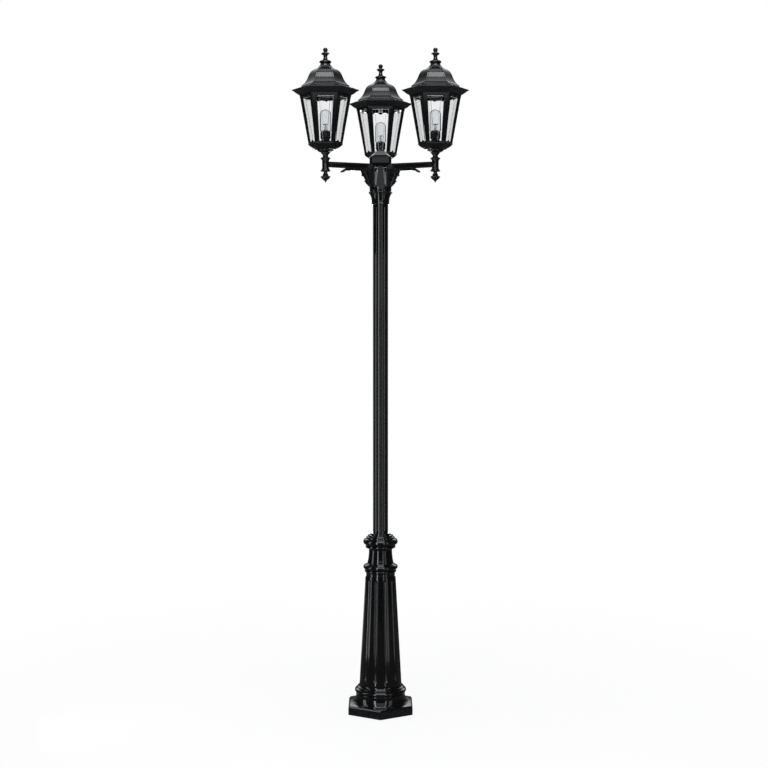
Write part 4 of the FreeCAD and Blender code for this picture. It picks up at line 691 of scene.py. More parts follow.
def build_moulding():
    piece = turned("moulding_look", [
        (52.0, 526.2), (56.0, 526.2), (56.0, 539.5), (57.2, 540.5), (57.4, 550.0, 4.0),
        (58.6, 551.0), (59.0, 552.5), (59.4, 570.0, 7.6), (57.6, 571.0), (56.4, 573.0),
        (49.8, 578.8, -1.8), (49.5, 583.0), (46.6, 600.0, -0.5), (45.0, 625.5, -0.6),
        (48.0, 632.0, -1.2), (48.5, 634.0), (53.0, 634.5), (53.2, 645.4, 5.0), (56.6, 646.2),
        (57.3, 647.5), (57.3, 671.0, 9.6), (55.4, 672.0), (54.8, 677.0), (54.0, 678.0),
        (48.0, 685.0, -1.6), (44.0, 685.6), (39.2, 687.0), (39.0, 692.6), (38.0, 693.0),
        (29.6, 693.0)], 96, 0.7, 12)
    finish(piece, "post", "casting_paint", "moulding")


def build_collar():
    piece = turned("hub_collar_look", [
        (30.0, 1960.0), (34.2, 1960.0), (34.6, 1961.5), (34.4, 1964.0, 0.5), (33.7, 1965.5),
        (34.6, 1980.0, -0.3), (37.8, 1992.5, -0.6), (40.6, 1998.0, -0.5), (45.4, 2003.6, -1.0),
        (46.0, 2005.4), (45.8, 2006.6), (42.6, 2008.6, -0.4), (41.8, 2009.0), (20.0, 2009.0)],
        96, 0.5, 10)
    finish(piece, "post", "casting_paint", "hub_collar")


def build_hub():
    """The hub casting keeps its own shape, with soft cast edges."""
    bevelled(carry("hub_body", "casting_paint"), looks().edge_width / MM, 30.0, weld=True)


def build_hub_slopes():
    """The sloping faces that show through the lower part of the hub's windows; their pale grey is
    painted sheen, standing in for the light they reflect.
    """
    slopes = []
    for sign in (-1, 1):
        near, far = sign * 7.8, sign * 21.4
        rings = [[(near, -24.3 + back, 2034.6), (far, -24.3 + back, 2034.6),
                  (far, -12.0 + back, 2085.0), (near, -12.0 + back, 2085.0)]
                 for back in (0.0, 1.2)]
        slopes.append(bridge(rings if sign < 0 else rings[::-1]))
    piece = mesh_piece("hub_slopes", *around(merged(slopes), 3))
    # the slopes get a pale grey that paints the sheen of the light they reflect
    finish(piece, "post", "casting_paint", look="slope_painted_sheen")


def three_way(apothem, corner, height, rib, rib_half):
    """A ring of the cap: wide and narrow sides in turn, starting towards -Y."""
    half = (corner * 2 - apothem) / math.sqrt(3)
    points = []
    for side in range(3):
        turn = Matrix.Rotation(math.radians(120 * side), 3, "Z")
        for x, y in ((-half - rib, -apothem - rib), (-half + rib_half, -apothem - rib),
                     (-half + rib_half * 1.35, -apothem), (half - rib_half * 1.35, -apothem),
                     (half - rib_half, -apothem - rib), (half + rib, -apothem - rib)):
            points.append(tuple(turn @ Vector((x, y, height))))
    return points


def build_hub_cap():
    rings = [three_way(30.0, 42.7, 2139.2, 0.2, 2.0), three_way(31.8, 44.4, 2139.4, 0.2, 2.0),
             three_way(31.9, 44.5, 2141.0, 0.2, 2.0), three_way(30.4, 43.0, 2142.4, 0.6, 2.4)]
    (foot_apothem, foot_corner), (head_apothem, head_corner) = (30.0, 42.7), (11.0, 14.0)
    for share in (0.12, 0.3, 0.5, 0.7, 0.88, 0.97):
        hollow = math.sin(math.pi * share)
        apothem = foot_apothem + (head_apothem - foot_apothem) * share - 1.6 * hollow
        corner = foot_corner + (head_corner - foot_corner) * share - 1.8 * hollow
        rings.append(three_way(apothem, corner, 2141.5 + 24.3 * share, 0.8, 1.7 * (1 - share / 2)))
    piece = mesh_piece("hub_cap_look", *bridge(rings), 25.0)
    bevelled(piece, 0.4, 30.0)
    finish(piece, "post", "casting_paint", "hub_cap")
    knob = turned("cap_knob_look", [
        (0.0, 2160.0), (9.6, 2165.2), (9.4, 2166.8, 0.6), (4.4, 2172.4, -1.6), (4.6, 2173.2, 0.3),
        (3.6, 2174.0), (6.4, 2178.6, 1.6), (0.0, 2184.6, 2.6)], 40, 0.3, 8)
    finish(knob, "post", "casting_paint", "cap_knob")


# ---------------------------------------------------------------- arm pieces

BRACKET = [(34.9, 2094.0), (34.9, 2026.2), (45.0, 2026.2), (50.0, 2028.5, -1.0),
           (58.5, 2036.5, -1.0), (63.6, 2044.6, 0.6), (68.6, 2045.8, 0.8), (67.2, 2049.0),
           (64.6, 2050.2, -0.6), (67.6, 2057.2, -0.8), (73.2, 2065.2, -0.8), (79.6, 2067.6, 0.9),
           (80.6, 2070.0, 0.5), (79.4, 2073.0, -0.8), (82.4, 2082.4, -1.0), (88.0, 2084.0, -1.0),
           (88.0, 2094.0)]


def bar_shape():
    """The arm's bar: a flat bar with a raised bead along each edge of its sides."""
    quarter = [(6.5, 4.2), (6.9, 5.0), (7.9, 5.9), (7.9, 8.6), (7.0, 9.4)]
    right = [(y, -z) for y, z in reversed(quarter)] + quarter
    left = [(-y, z) for y, z in reversed(right)]
    section = left[-1:] + right + left[:-1]
    rings = []
    for x in (35.2, 39.6, 60.0, 110.0, 160.0, 210.0, 229.0):
        ring = []
        for y, z in section:
            high = z if x > 39 else min(z, 2.0)
            if high > 4.0:
                high += 4.2 - 0.012 * x
            ring.append((x, y, BAR_HEIGHT + high))
        rings.append(ring)
    return bridge(rings)


def rosette_shape():
    """A round boss with eight petals, on both sides of the arm."""
    disc = lathed(softened([(12.0, 6.0), (12.0, 10.2), (11.4, 10.9), (0.001, 10.9)], 0.4), 40)
    centre = lathed(softened(sampled([(4.4, 10.4), (4.2, 12.2, 0.5), (0.001, 13.2, 0.5)]), 0.3), 24)
    petals = around(ball(1.0, (7.9, 0, 10.9), (2.9, 2.1, 1.5), 12), 8, 22.5)
    boss = merged([disc, centre, petals])
    spot = Matrix.Translation((47.0, 0, BAR_HEIGHT))
    return merged([moved(boss, spot @ Matrix.Rotation(-sign * math.pi / 2, 4, "X"))
                   for sign in (1, -1)])


def scroll_relief():
    """Three stacked leaves on each side of the bracket, and a rim along its edge."""
    shapes = []
    for sign in (1, -1):
        for length, width, tilt, x, z in ((26.0, 11.0, 34.0, 45.0, 2030.0),
                                          (25.0, 12.0, 36.0, 51.0, 2047.0),
                                          (24.0, 12.0, 38.0, 58.0, 2065.0)):
            spot = Matrix.Translation((x, sign * 7.4, z))
            lean = Matrix.Rotation(math.radians(tilt), 4, "Y")
            facing = Matrix.Rotation(math.radians(90.0 * sign), 4, "Z")
            shapes.append(moved(leaf(length, width, 2.2), spot @ lean @ facing))
    return merged(shapes)


def build_arm(side):
    place = arm_turn(side)
    slab = plate(BRACKET, 13.8, 5)
    rim = plate([(x + (0.9 if x > 36 else 0), z, *rest) for x, z, *rest in BRACKET], 3.4, 5)
    under = plate([(40.0, 2093.0), (40.0, 2083.8), (150.0, 2083.8), (156.5, 2080.0, -0.7),
                   (163.0, 2076.2, -0.5), (171.0, 2075.8, 0.8), (171.8, 2078.4, 0.7),
                   (166.4, 2084.2, 0.8), (158.4, 2088.2, 0.8), (149.5, 2092.4, 0.2),
                   (148.0, 2093.0)], 10.6, 5)
    piece = mesh_piece(f"arm_{side}_look", *merged([slab, bar_shape(), under]), 30.0, place)
    bevelled(piece, 0.9)
    finish(piece, "post", "arm_paint", "arm_" + side)
    trim = mesh_piece(f"arm_{side}_ornament", *merged([rosette_shape(), scroll_relief(), rim]),
                      40.0, place)
    finish(trim, "post", "arm_paint")
    sleeve = turned(f"arm_{side}_sleeve", [
        (7.5, 2075.0), (15.6, 2075.0), (18.8, 2077.4, 0.8), (18.6, 2079.4, 0.4),
        (15.2, 2083.0, -0.9), (14.8, 2085.4, 0.4), (13.0, 2087.6, -0.4), (12.9, 2090.0),
        (12.9, 2114.0), (13.2, 2116.6, -0.3), (15.0, 2118.4, 0.3), (15.6, 2120.0, -0.3),
        (18.6, 2122.4, -0.6), (18.8, 2124.4, 0.4), (15.4, 2127.8, 0.6), (14.0, 2128.0),
        (5.2, 2128.0)], 56, 0.4, 6, to_lantern(side))
    finish(sleeve, "post", "arm_paint")


def build_drop(side):
    piece = turned(f"drop_finial_{side}_look", [
        (0.0, 2034.0), (1.6, 2034.8, 0.5), (3.0, 2038.0, -0.2), (8.4, 2043.6, -0.6),
        (16.4, 2052.2, 0.8), (18.3, 2054.8, 0.6), (17.6, 2057.2, 0.7), (11.0, 2061.6, -0.8),
        (9.0, 2063.4, -0.3), (10.8, 2065.0, 0.6), (10.4, 2066.8, 0.5), (7.6, 2068.0, -0.2),
        (7.3, 2073.0, -0.3), (9.2, 2074.9, -0.3), (5.0, 2074.9)], 56, 0.3, 6, to_lantern(side))
    finish(piece, "post", "casting_paint", "drop_finial_" + side)


# ---------------------------------------------------------------- lantern pieces

def build_bowl(side):
    cup = lathed(softened(sampled([
        (5.4, 2128.0), (12.4, 2128.0), (11.0, 2130.2, 0.5), (10.0, 2134.0, -0.3),
        (11.4, 2136.8, -0.4), (15.6, 2141.6, -0.8), (20.2, 2147.6, -0.8), (26.4, 2150.6, 0.7),
        (30.6, 2154.2, 1.0), (31.0, 2156.2, 0.3), (20.0, 2157.5)], 8), 0.4), 60)
    levels = [(20.0, 2156.4), (37.6, 2156.4), (39.4, 2157.2), (40.4, 2159.2)]
    for share in (0.15, 0.35, 0.55, 0.75, 0.92):
        bow = 2.6 * math.sin(math.pi * share)
        levels.append((40.4 + 23.0 * share + bow, 2159.2 + 15.0 * share))
    levels += [(63.8, 2174.8), (57.0, 2175.0), (38.0, 2161.0), (5.4, 2160.2)]
    flare = bridge([hexagon(corner, height) for corner, height in levels], (False, False))
    lean = Matrix.Rotation(math.radians(49.0), 4, "Y")
    petals = around(leaf(17.0, 17.0, 1.6, 7), 6,
                    place=Matrix.Translation((36.4, 0, 2159.6)) @ lean)
    piece = mesh_piece(f"bowl_{side}_look", *merged([cup, flare, petals]), 32.0,
                       to_lantern(side))
    finish(piece, "post", "lantern_paint", "bowl_" + side)


def side_plate(outline, thickness, apothem_low, lean, height):
    """A flat ornament on a lantern's side: outline across and up, leaning outwards."""
    line = sampled(outline, 5, close=True)
    shape = bridge([[(out, x, z) for x, z in line] for out in (0.0, thickness)])
    tilt = Matrix.Rotation(math.radians(lean), 4, "Y")
    return moved(shape, Matrix.Translation((apothem_low, 0, height)) @ tilt)


def cage_bar():
    """A corner bar: an angle whose faces are sunk between its corner and its edges."""
    turn = Matrix.Rotation(math.radians(30), 3, "Z")
    wall = 5.0
    rings = []
    for share in (0.0, 0.25, 0.5, 0.75, 1.0):
        corner = 63.5 + 33.0 * share
        leg = 10.0 + 6.0 * share
        height = 2176.0 + 183.0 * share
        line = [(0.0, 0.0), (1.9, 0.0), (2.6, 0.8), (leg - 2.2, 0.8), (leg - 1.5, 0.0),
                (leg, 0.3), (leg, wall)]
        near, far = ([(corner - along * 0.5 - deep * COS30,
                       side * (along * COS30 - deep * 0.5), height) for along, deep in line]
                     for side in (1, -1))
        ring = near + [(corner - wall / COS30, 0.0, height)] + far[:0:-1]
        rings.append([tuple(turn @ Vector(point)) for point in ring])
    return bridge(rings)


def cage_crest():
    """The little crown at the foot of each pane."""
    return side_plate([(-15.0, -4.0), (15.0, -4.0), (15.0, 1.0), (11.0, 3.4, 0.8),
                       (8.4, 1.4, 0.5), (5.0, 3.0, -0.5), (3.4, 5.6, -0.5), (0.0, 8.4, 0.9),
                       (-3.4, 5.6, 0.9), (-5.0, 3.0, -0.5), (-8.4, 1.4, -0.5),
                       (-11.0, 3.4, 0.5), (-15.0, 1.0, 0.8)], 3.6, 52.4, 8, 2182.0)


def cage_valance():
    """The scalloped drop at the head of each pane, with beads."""
    outline = [(-43.0, 3.0), (-43.0, -0.6), (-38.0, -3.6, 1.0), (-33.4, -1.2, -0.8),
               (-29.0, -2.6, 0.6), (-24.6, -0.6, 0.6), (-12.0, -0.4, -0.6), (-5.6, -1.8, -0.5),
               (-2.6, -2.2, 0.4), (0.0, -5.6, 0.6), (2.6, -2.2, 0.6), (5.6, -1.8, 0.4),
               (12.0, -0.4, -0.5), (24.6, -0.6, -0.6), (29.0, -2.6, 0.6), (33.4, -1.2, 0.6),
               (38.0, -3.6, -0.8), (43.0, -0.6, 1.0), (43.0, 3.0)]
    foot = 2352.0
    shapes = [side_plate(outline, 3.0, 80.4, 6, foot)]
    for across, down, size in ((0.0, -2.6, 1.4), (-38.0, -1.2, 1.3), (38.0, -1.2, 1.3),
                               (-29.0, -0.6, 1.0), (29.0, -0.6, 1.0)):
        shapes.append(ball(size, (83.4 + down * 0.1, across, foot + down), (0.7, 1, 1), 10))
    return merged(shapes)


def build_cage(side):
    foot = [(53.2, 2175.2), (63.4, 2175.2), (65.2, 2176.4), (65.4, 2179.0), (64.2, 2180.4),
            (64.6, 2182.4), (64.2, 2183.8), (61.0, 2184.2), (54.0, 2184.2), (53.2, 2183.4)]
    head = [(88.3, 2352.0), (95.8, 2352.0), (97.2, 2352.8), (97.2, 2354.2), (95.9, 2355.0),
            (95.9, 2356.4), (97.2, 2357.2), (97.3, 2359.4), (96.6, 2360.0), (88.3, 2360.0),
            (88.3, 2354.3), (80.4, 2354.0), (80.4, 2352.0)]
    shapes = [bridge([hexagon(corner, height) for corner, height in line + line[:1]],
                     (False, False)) for line in (foot, head)]
    shapes += [around(part, 6) for part in (cage_bar(), cage_crest(), cage_valance())]
    piece = mesh_piece(f"cage_{side}_look", *merged(shapes), 28.0, to_lantern(side))
    finish(piece, "post", "lantern_paint", "cage_" + side)


def pane_shape():
    """One pane: a flat slab with a wide bevel down each side of its outer face."""
    low, high = 2184.6, 2348.4
    lean = 0.1545
    wide = looks().bevel_width / MM
    shape = []
    for depth, margin in ((0.0, 0.0), (2.0, 0.0), (2.4, 1.0), (2.95, wide), (2.5, wide + 0.6),
                          (3.0, wide + 1.3)):
        ring = []
        for across, up in ((-1, 0), (1, 0), (1, 1), (-1, 1)):
            height = low + min(margin, 1.0) if up == 0 else high - min(margin, 1.0)
            apothem = 45.6 + lean * (height - low)
            half = (apothem - 0.4) * math.tan(math.radians(30)) - 0.4 - margin
            ring.append((apothem + depth, across * half, height))
        shape.append(ring)
    return bridge(shape)


PANE_LINE_FACES = range(12, 20)  # pane_shape's narrow groove between its bevel and its flat, tinted grey as painted shade for the bevel's line


def build_panes(side):
    piece = mesh_piece(f"panes_{side}_look", *around(pane_shape(), 6), 12.0, to_lantern(side))
    finish(piece, "post", "pane_glass", "panes_" + side)
    # the grooves get grey glass, painted shade that draws the line a bevel shows
    piece.data.materials.append(finishes()["bevel_line_shade"])
    each = len(piece.data.polygons) // 6
    for index, face in enumerate(piece.data.polygons):
        face.use_smooth = False
        if index % each in PANE_LINE_FACES:
            face.material_index = 1


def roof_ring(corner, height, rib):
    """A six-sided ring with a raised rib at each corner."""
    points = []
    for index in range(6):
        turn = Matrix.Rotation(math.radians(60 * index), 3, "Z")
        apothem = corner * COS30
        half = corner * 0.5
        rib_half = min(3.6, half * 0.28)
        step = min(1.0, half * 0.08)
        for across, out in ((-half, rib), (-half + rib_half, rib),
                            (-half + rib_half + step, 0.0), (-half + (rib_half + step) * 1.3, 0.0),
                            (half - (rib_half + step) * 1.3, 0.0), (half - rib_half - step, 0.0),
                            (half - rib_half, rib)):
            spread = across * (1 + rib / max(apothem, 1.0)) if abs(across) == half else across
            points.append(tuple(turn @ Vector((apothem + out, spread, height))))
    return points


def build_roof(side):
    eave = softened(sampled([(97.2, 2360.0), (103.0, 2362.6), (112.0, 2368.6),
                             (121.0, 2375.0, -0.4), (125.2, 2377.2), (126.0, 2378.8, 0.4),
                             (124.6, 2380.8, 0.8), (122.2, 2380.4), (113.0, 2383.8, -0.3),
                             (103.0, 2387.6, -0.3), (93.0, 2390.6, -0.2), (90.4, 2391.4),
                             (87.6, 2397.4), (86.0, 2398.0)], 3), 0.3, 2)
    bell = flowing([(86.0, 2397.8), (78.2, 2404.4), (71.9, 2413.0), (67.4, 2421.0),
                    (63.9, 2429.0), (60.6, 2437.0), (56.2, 2444.6), (50.0, 2451.2),
                    (42.4, 2455.8), (34.0, 2459.2), (26.4, 2463.8), (20.4, 2471.0)], 5)
    rings = [roof_ring(corner, height, 0.0 if height < 2381 else 0.8) for corner, height in eave]
    rings += [roof_ring(corner, height, 0.8) for corner, height in bell[1:]]
    inner = [(18.0, 2468.0), (38.0, 2453.0), (58.0, 2434.0), (70.0, 2410.0), (82.0, 2396.0),
             (89.0, 2376.0), (88.6, 2360.2)]
    rings += [roof_ring(corner, height, 0.0) for corner, height in inner]
    rings.append(rings[0])
    body = bridge(rings, (False, False))
    collar = lathed(softened(sampled([
        (3.6, 2466.0), (19.0, 2466.0), (19.4, 2468.4, 0.4), (17.6, 2470.6, -0.3),
        (16.6, 2474.0, -0.5), (18.4, 2477.6, -0.5), (18.9, 2479.2, 0.4), (18.0, 2480.4),
        (3.6, 2480.4)], 6), 0.4), 48)
    arch = lathed(softened(sampled([(3.4, 0.0), (5.6, 0.6, 0.3), (6.4, 2.0, 0.4),
                                    (5.8, 3.2, 0.4), (3.4, 3.4)], 4), 0.2), 20)
    spot = Matrix.Translation((15.8, 0, 2472.0)) @ Matrix.Rotation(math.radians(68), 4, "Y")
    shape = merged([body, collar, around(arch, 6, place=spot)])
    piece = mesh_piece(f"roof_{side}_look", *shape, 30.0, to_lantern(side))
    finish(piece, "roof_" + side, "roof_paint", "roof_" + side)


def build_finial(side):
    piece = turned(f"top_finial_{side}_look", [
        (3.6, 2480.6), (20.6, 2480.6), (22.6, 2482.6, 0.6), (22.4, 2485.2, 0.5),
        (19.0, 2488.2, 0.8), (15.6, 2489.0), (12.4, 2491.0, -0.5), (8.0, 2498.4, -1.4),
        (7.2, 2500.6), (7.2, 2505.4), (8.2, 2507.6, -0.3), (12.6, 2511.4, -0.7),
        (15.4, 2513.4, 0.4), (15.2, 2515.8, 0.5), (11.4, 2518.4, 0.6), (7.8, 2519.6, -0.3),
        (6.4, 2522.2, -0.4), (8.0, 2525.6, 0.5), (8.8, 2529.2, 0.4), (7.6, 2533.4, 0.7),
        (3.0, 2536.5, 0.8), (0.0, 2537.2, 0.2)], 56, 0.3, 6, to_lantern(side))
    finish(piece, "finial_" + side, "casting_paint", "top_finial_" + side)


def build_lampholder(side):
    piece = turned(f"lampholder_{side}_look", [
        (5.2, 2182.2), (12.4, 2182.2), (12.5, 2188.8), (15.2, 2190.8, -0.3), (15.5, 2196.6),
        (18.4, 2198.2, -0.3), (18.7, 2200.0), (18.7, 2206.8), (17.9, 2207.6), (17.9, 2209.0),
        (18.7, 2209.8), (18.7, 2220.8), (18.0, 2223.0, 0.4), (16.4, 2224.0, 0.3),
        (13.6, 2224.0), (13.6, 2218.0)], 56, 0.4, 5, to_lantern(side))
    ribs = around(ball(1.0, (18.0, 0, 2215.2), (0.9, 1.3, 4.6), 8), 20)
    grip = mesh_piece(f"lampholder_{side}_ribs", *ribs, 60.0, to_lantern(side))
    finish(grip, "post", "holder_plastic")
    finish(piece, "post", "holder_plastic", "lampholder_" + side)


def build_bulb(side):
    body = "bulb_" + side
    glass = turned(f"bulb_glass_{side}_look", [
        (8.2, 2225.1), (16.6, 2225.4), (20.3, 2229.2, 1.0), (20.5, 2232.0), (20.5, 2290.0),
        (0.01, 2306.9, 5.2), (0.01, 2305.6), (19.3, 2289.6, -5.0), (19.3, 2231.6),
        (16.4, 2226.8, -0.9), (8.2, 2226.4)],
        64, 0.2, 10, to_lantern(side))
    finish(glass, body, "bulb_glass", "bulb_glass_" + side)
    stem = turned(f"bulb_stem_{side}_look", [
        (0.0, 2223.2), (7.4, 2223.2), (7.2, 2226.2, 0.3), (4.4, 2230.4, -0.8),
        (4.0, 2236.0, -0.2), (5.2, 2240.0, 0.4), (3.4, 2244.6, 0.5), (2.8, 2249.4, -0.2),
        (8.6, 2250.2), (8.9, 2252.2, 0.3), (8.2, 2253.0), (0.0, 2253.0)],
        40, 0.2, 5, to_lantern(side))
    finish(stem, body, "bulb_stem", "bulb_stem_" + side)
    carry("bulb_cap_" + side, "bulb_metal")


def build_inside():
    """Pieces inside the castings keep their own shapes and get a finish."""
    for item in frame["record"]["subparts"]:
        if not frame["nodes"][item["node"]].hide_render:
            carry(item["node"], item["material_slot"])


# ---------------------------------------------------------------- stage

LIGHT_COLOUR = (0.96, 0.98, 1.0)

# Name, azimuth, elevation, distance, width and height, brightness, and the height aimed at.
LIGHTS = (
    ("left_strip", -25.0, 0.0, 1.25, (0.15, 2.4), 3.6, 1.22),
    ("left_box", -76.0, 0.0, 1.3, (0.36, 1.8), 1.2, 0.92),
    ("right_strip", 24.0, 0.0, 1.25, (0.13, 2.4), 1.3, 1.22),
    ("right_box", 46.0, 0.0, 1.3, (0.32, 1.8), 0.5, 0.92),
    ("back_strip", 180.0, 0.0, 2.3, (0.30, 2.4), 3.0, 1.22),
    ("front_card", 0.0, 19.0, 4.5, (3.2, 2.9), 0.4, 1.5),
    ("high_box", 2.0, 47.0, 3.4, (3.0, 1.0), 4.5, 2.3),
    ("top_card", 0.0, 80.0, 3.4, (2.8, 2.0), 1.3, 2.3),
)

FLOOR_RADIUS = 3200.0
FLOOR_HEIGHT = -0.6
FLOOR_TONES = (0.90, 0.90, 0.90, 1.0), (0.93, 0.93, 0.93, 1.0)
FLOOR_IN_GLOSS = 0.05  # what polished paint sees of the floor
WHITE = (1.0, 1.0, 1.0, 1.0)
ROOM_COLOUR = (0.95, 0.97, 1.0, 1.0)
ROOM_STRENGTH = 0.62
SWEEP_COLOUR = (0.95, 0.98, 1.0, 1.0)
SWEEP_LEAST = 0.02

CAMERA_PLACE = (0.0135, -5.418, 1.5602)
CAMERA_DOWN = 2.05  # degrees it looks down
CAMERA_LENS = 65.845
CAMERA_SHIFT = -25.0 / 768.0

def soft_light(name, azimuth, elevation, distance, size, glow, height):
    """A soft box round the post: azimuth 0 is the camera's side, and glow is its brightness."""
    data = bpy.data.lights.new(name, "AREA")
    data.shape = "RECTANGLE"
    data.size, data.size_y = size
    data.energy = glow * math.pi * size[0] * size[1]
    data.color = LIGHT_COLOUR
    lamp = bpy.data.objects.new(name, data)
    bpy.context.scene.collection.objects.link(lamp)
    across, up = math.radians(azimuth), math.radians(elevation)
    away = Vector((math.sin(across) * math.cos(up), -math.cos(across) * math.cos(up),
                   math.sin(up)))
    lamp.location = Vector((0, 0, height)) + away * distance
    lamp.rotation_euler = (-away).to_track_quat("-Z", "Y").to_euler()
    lamp.visible_camera = False
    lamp.visible_transmission = False


def build_lights():
    """The lights of the table, at the panel's level."""
    level = looks().light_level
    for name, azimuth, elevation, distance, size, glow, height in LIGHTS:
        soft_light(name, azimuth, elevation, distance, size, glow * level, height)


def glowing(tree, colour):
    """A plain emission of one colour."""
    made = node(tree, "ShaderNodeEmission")
    made.inputs["Color"].default_value = colour
    return made.outputs[0]


def build_floor():
    """A round pale floor whose rim fades into the white background."""
    rings = [[(FLOOR_RADIUS * share * math.cos(math.radians(5 * step)),
               FLOOR_RADIUS * share * math.sin(math.radians(5 * step)), FLOOR_HEIGHT)
              for step in range(72)] for share in (0.01, 0.1, 0.3, 0.6, 1.0)]
    floor = mesh_piece("floor", *bridge(rings, (True, False)))
    material, tree, shader = blank_material("pale_floor")
    tone = ranged(tree, noise(tree, 3.0, 3.0), 0.3, 0.7, 0.0, 1.0)
    tree.links.new(mixed(tree, tone, *FLOOR_TONES), shader.inputs["Base Color"])
    shader.inputs["Roughness"].default_value = 0.9
    shader.inputs["Specular IOR Level"].default_value = 0.1
    away = node(tree, "ShaderNodeVectorMath", operation="LENGTH")
    tree.links.new(node(tree, "ShaderNodeTexCoord").outputs["Object"], away.inputs[0])
    fade = ranged(tree, away.outputs["Value"], 0.3, 2.4, 0.86, 1.0)
    path = node(tree, "ShaderNodeLightPath")
    seen = math_node(tree, "MULTIPLY", path.outputs["Is Camera Ray"], fade)
    dim = blended(tree, path.outputs["Is Glossy Ray"], shader.outputs[0],
                  glowing(tree, (FLOOR_IN_GLOSS, FLOOR_IN_GLOSS, FLOOR_IN_GLOSS, 1.0)))
    tree.links.new(blended(tree, seen, dim, glowing(tree, WHITE)),
                   tree.nodes["Material Output"].inputs["Surface"])
    floor.data.materials.append(material)


def background(tree, colour, strength):
    """A background of one colour, whose strength may be a socket."""
    made = node(tree, "ShaderNodeBackground")
    made.inputs["Color"].default_value = colour
    feed(tree, strength, made.inputs["Strength"])
    return made.outputs[0]


def build_world():
    """White past and through the object. Its gloss sees a white sweep behind and a dim room."""
    world = bpy.data.worlds.new("studio")
    world.use_nodes = True
    tree = world.node_tree
    tree.nodes.clear()
    path = node(tree, "ShaderNodeLightPath")
    first = math_node(tree, "LESS_THAN", path.outputs["Glossy Depth"], 0.5)
    seen = math_node(tree, "MAXIMUM", path.outputs["Is Camera Ray"],
                     math_node(tree, "MULTIPLY", path.outputs["Is Transmission Ray"], first))
    gloss = math_node(tree, "MAXIMUM", path.outputs["Is Glossy Ray"],
                      path.outputs["Is Transmission Ray"])
    towards = node(tree, "ShaderNodeSeparateXYZ")
    tree.links.new(node(tree, "ShaderNodeTexCoord").outputs["Generated"], towards.inputs["Vector"])
    behind = ranged(tree, towards.outputs["Y"], 0.60, 0.85, 0.0, 1.0)
    rising = ranged(tree, towards.outputs["Z"], 0.22, 0.36, 0.03, 1.0)
    overhead = ranged(tree, towards.outputs["Z"], 0.44, 0.62, 1.0, 0.06)
    sweep = math_node(tree, "MULTIPLY", behind, math_node(tree, "MULTIPLY", rising, overhead))
    sweep = math_node(tree, "ADD", sweep, SWEEP_LEAST)
    studio = blended(tree, gloss, background(tree, ROOM_COLOUR, ROOM_STRENGTH),
                        background(tree, SWEEP_COLOUR, sweep))
    out = node(tree, "ShaderNodeOutputWorld")
    tree.links.new(blended(tree, seen, studio, background(tree, WHITE, 1.0)),
                   out.inputs["Surface"])
    bpy.context.scene.world = world


def build_camera():
    data = bpy.data.cameras.new("camera")
    data.sensor_width = 36.0
    data.lens = CAMERA_LENS
    data.shift_y = CAMERA_SHIFT
    data.clip_end = 100.0
    camera = bpy.data.objects.new("camera", data)
    bpy.context.scene.collection.objects.link(camera)
    camera.location = CAMERA_PLACE
    camera.rotation_euler = (math.radians(90.0 - CAMERA_DOWN), 0.0, 0.0)
    bpy.context.scene.camera = camera


# ---------------------------------------------------------------- add-on

class PostLooks(bpy.types.PropertyGroup):
    """Sizes and colours of the looks."""

    coat_colour: bpy.props.FloatVectorProperty(
        name="Coat colour", description="Colour of the gloss coat on the post and the cages",
        default=(0.0014, 0.0015, 0.0018), size=3, min=0.0, max=1.0, subtype="COLOR")
    roof_colour: bpy.props.FloatVectorProperty(
        name="Roof colour", description="Colour of the satin coat on the roofs",
        default=(0.0060, 0.0067, 0.0080), size=3, min=0.0, max=1.0, subtype="COLOR")
    pane_colour: bpy.props.FloatVectorProperty(
        name="Pane colour", description="Tint of the clear panes",
        default=(0.985, 0.990, 0.992), size=3, min=0.0, max=1.0, subtype="COLOR")
    bulb_colour: bpy.props.FloatVectorProperty(
        name="Bulb colour", description="Tint of the bulbs' clear glass",
        default=(0.93, 0.95, 0.965), size=3, min=0.0, max=1.0, subtype="COLOR")
    edge_width: bpy.props.FloatProperty(
        name="Edge width", description="Width of the soft edges on the hub casting",
        default=0.0009, min=0.0, max=0.002, unit="LENGTH", subtype="DISTANCE")
    bevel_width: bpy.props.FloatProperty(
        name="Pane bevel", description="Width of the bevel down each side of a pane",
        default=0.0184, min=0.002, max=0.022, unit="LENGTH", subtype="DISTANCE")
    wear: bpy.props.FloatProperty(
        name="Wear", description="Share of worn edges and dust that shows on the coat",
        default=1.0, min=0.0, max=5.0, subtype="FACTOR")
    light_level: bpy.props.FloatProperty(
        name="Light level", description="Strength of the studio lights",
        default=1.0, min=0.0, subtype="FACTOR")


def run_each(action):
    """Builds a piece for each of the three arms."""
    for side in SIDES:
        action(side)
    return {"FINISHED"}


class POST_OT_pedestal(bpy.types.Operator):
    """Build the fluted pedestal on its plinth."""
    bl_idname = "post.pedestal"
    bl_label = "Pedestal"

    def execute(self, context):
        build_pedestal()
        return {"FINISHED"}


class POST_OT_pole(bpy.types.Operator):
    """Build the fluted pole."""
    bl_idname = "post.pole"
    bl_label = "Pole"

    def execute(self, context):
        build_pole()
        return {"FINISHED"}


class POST_OT_moulding(bpy.types.Operator):
    """Build the turned rings between pedestal and pole."""
    bl_idname = "post.moulding"
    bl_label = "Moulding"

    def execute(self, context):
        build_moulding()
        return {"FINISHED"}


class POST_OT_hub(bpy.types.Operator):
    """Build the hub, its collar, its cap and its knob."""
    bl_idname = "post.hub"
    bl_label = "Hub"

    def execute(self, context):
        build_collar()
        build_hub()
        build_hub_slopes()
        build_hub_cap()
        return {"FINISHED"}


class POST_OT_arms(bpy.types.Operator):
    """Build the three arms with their ornament and sleeves."""
    bl_idname = "post.arms"
    bl_label = "Arms"

    def execute(self, context):
        return run_each(build_arm)


class POST_OT_drops(bpy.types.Operator):
    """Build the turned drops under the arms."""
    bl_idname = "post.drops"
    bl_label = "Drop finials"

    def execute(self, context):
        return run_each(build_drop)


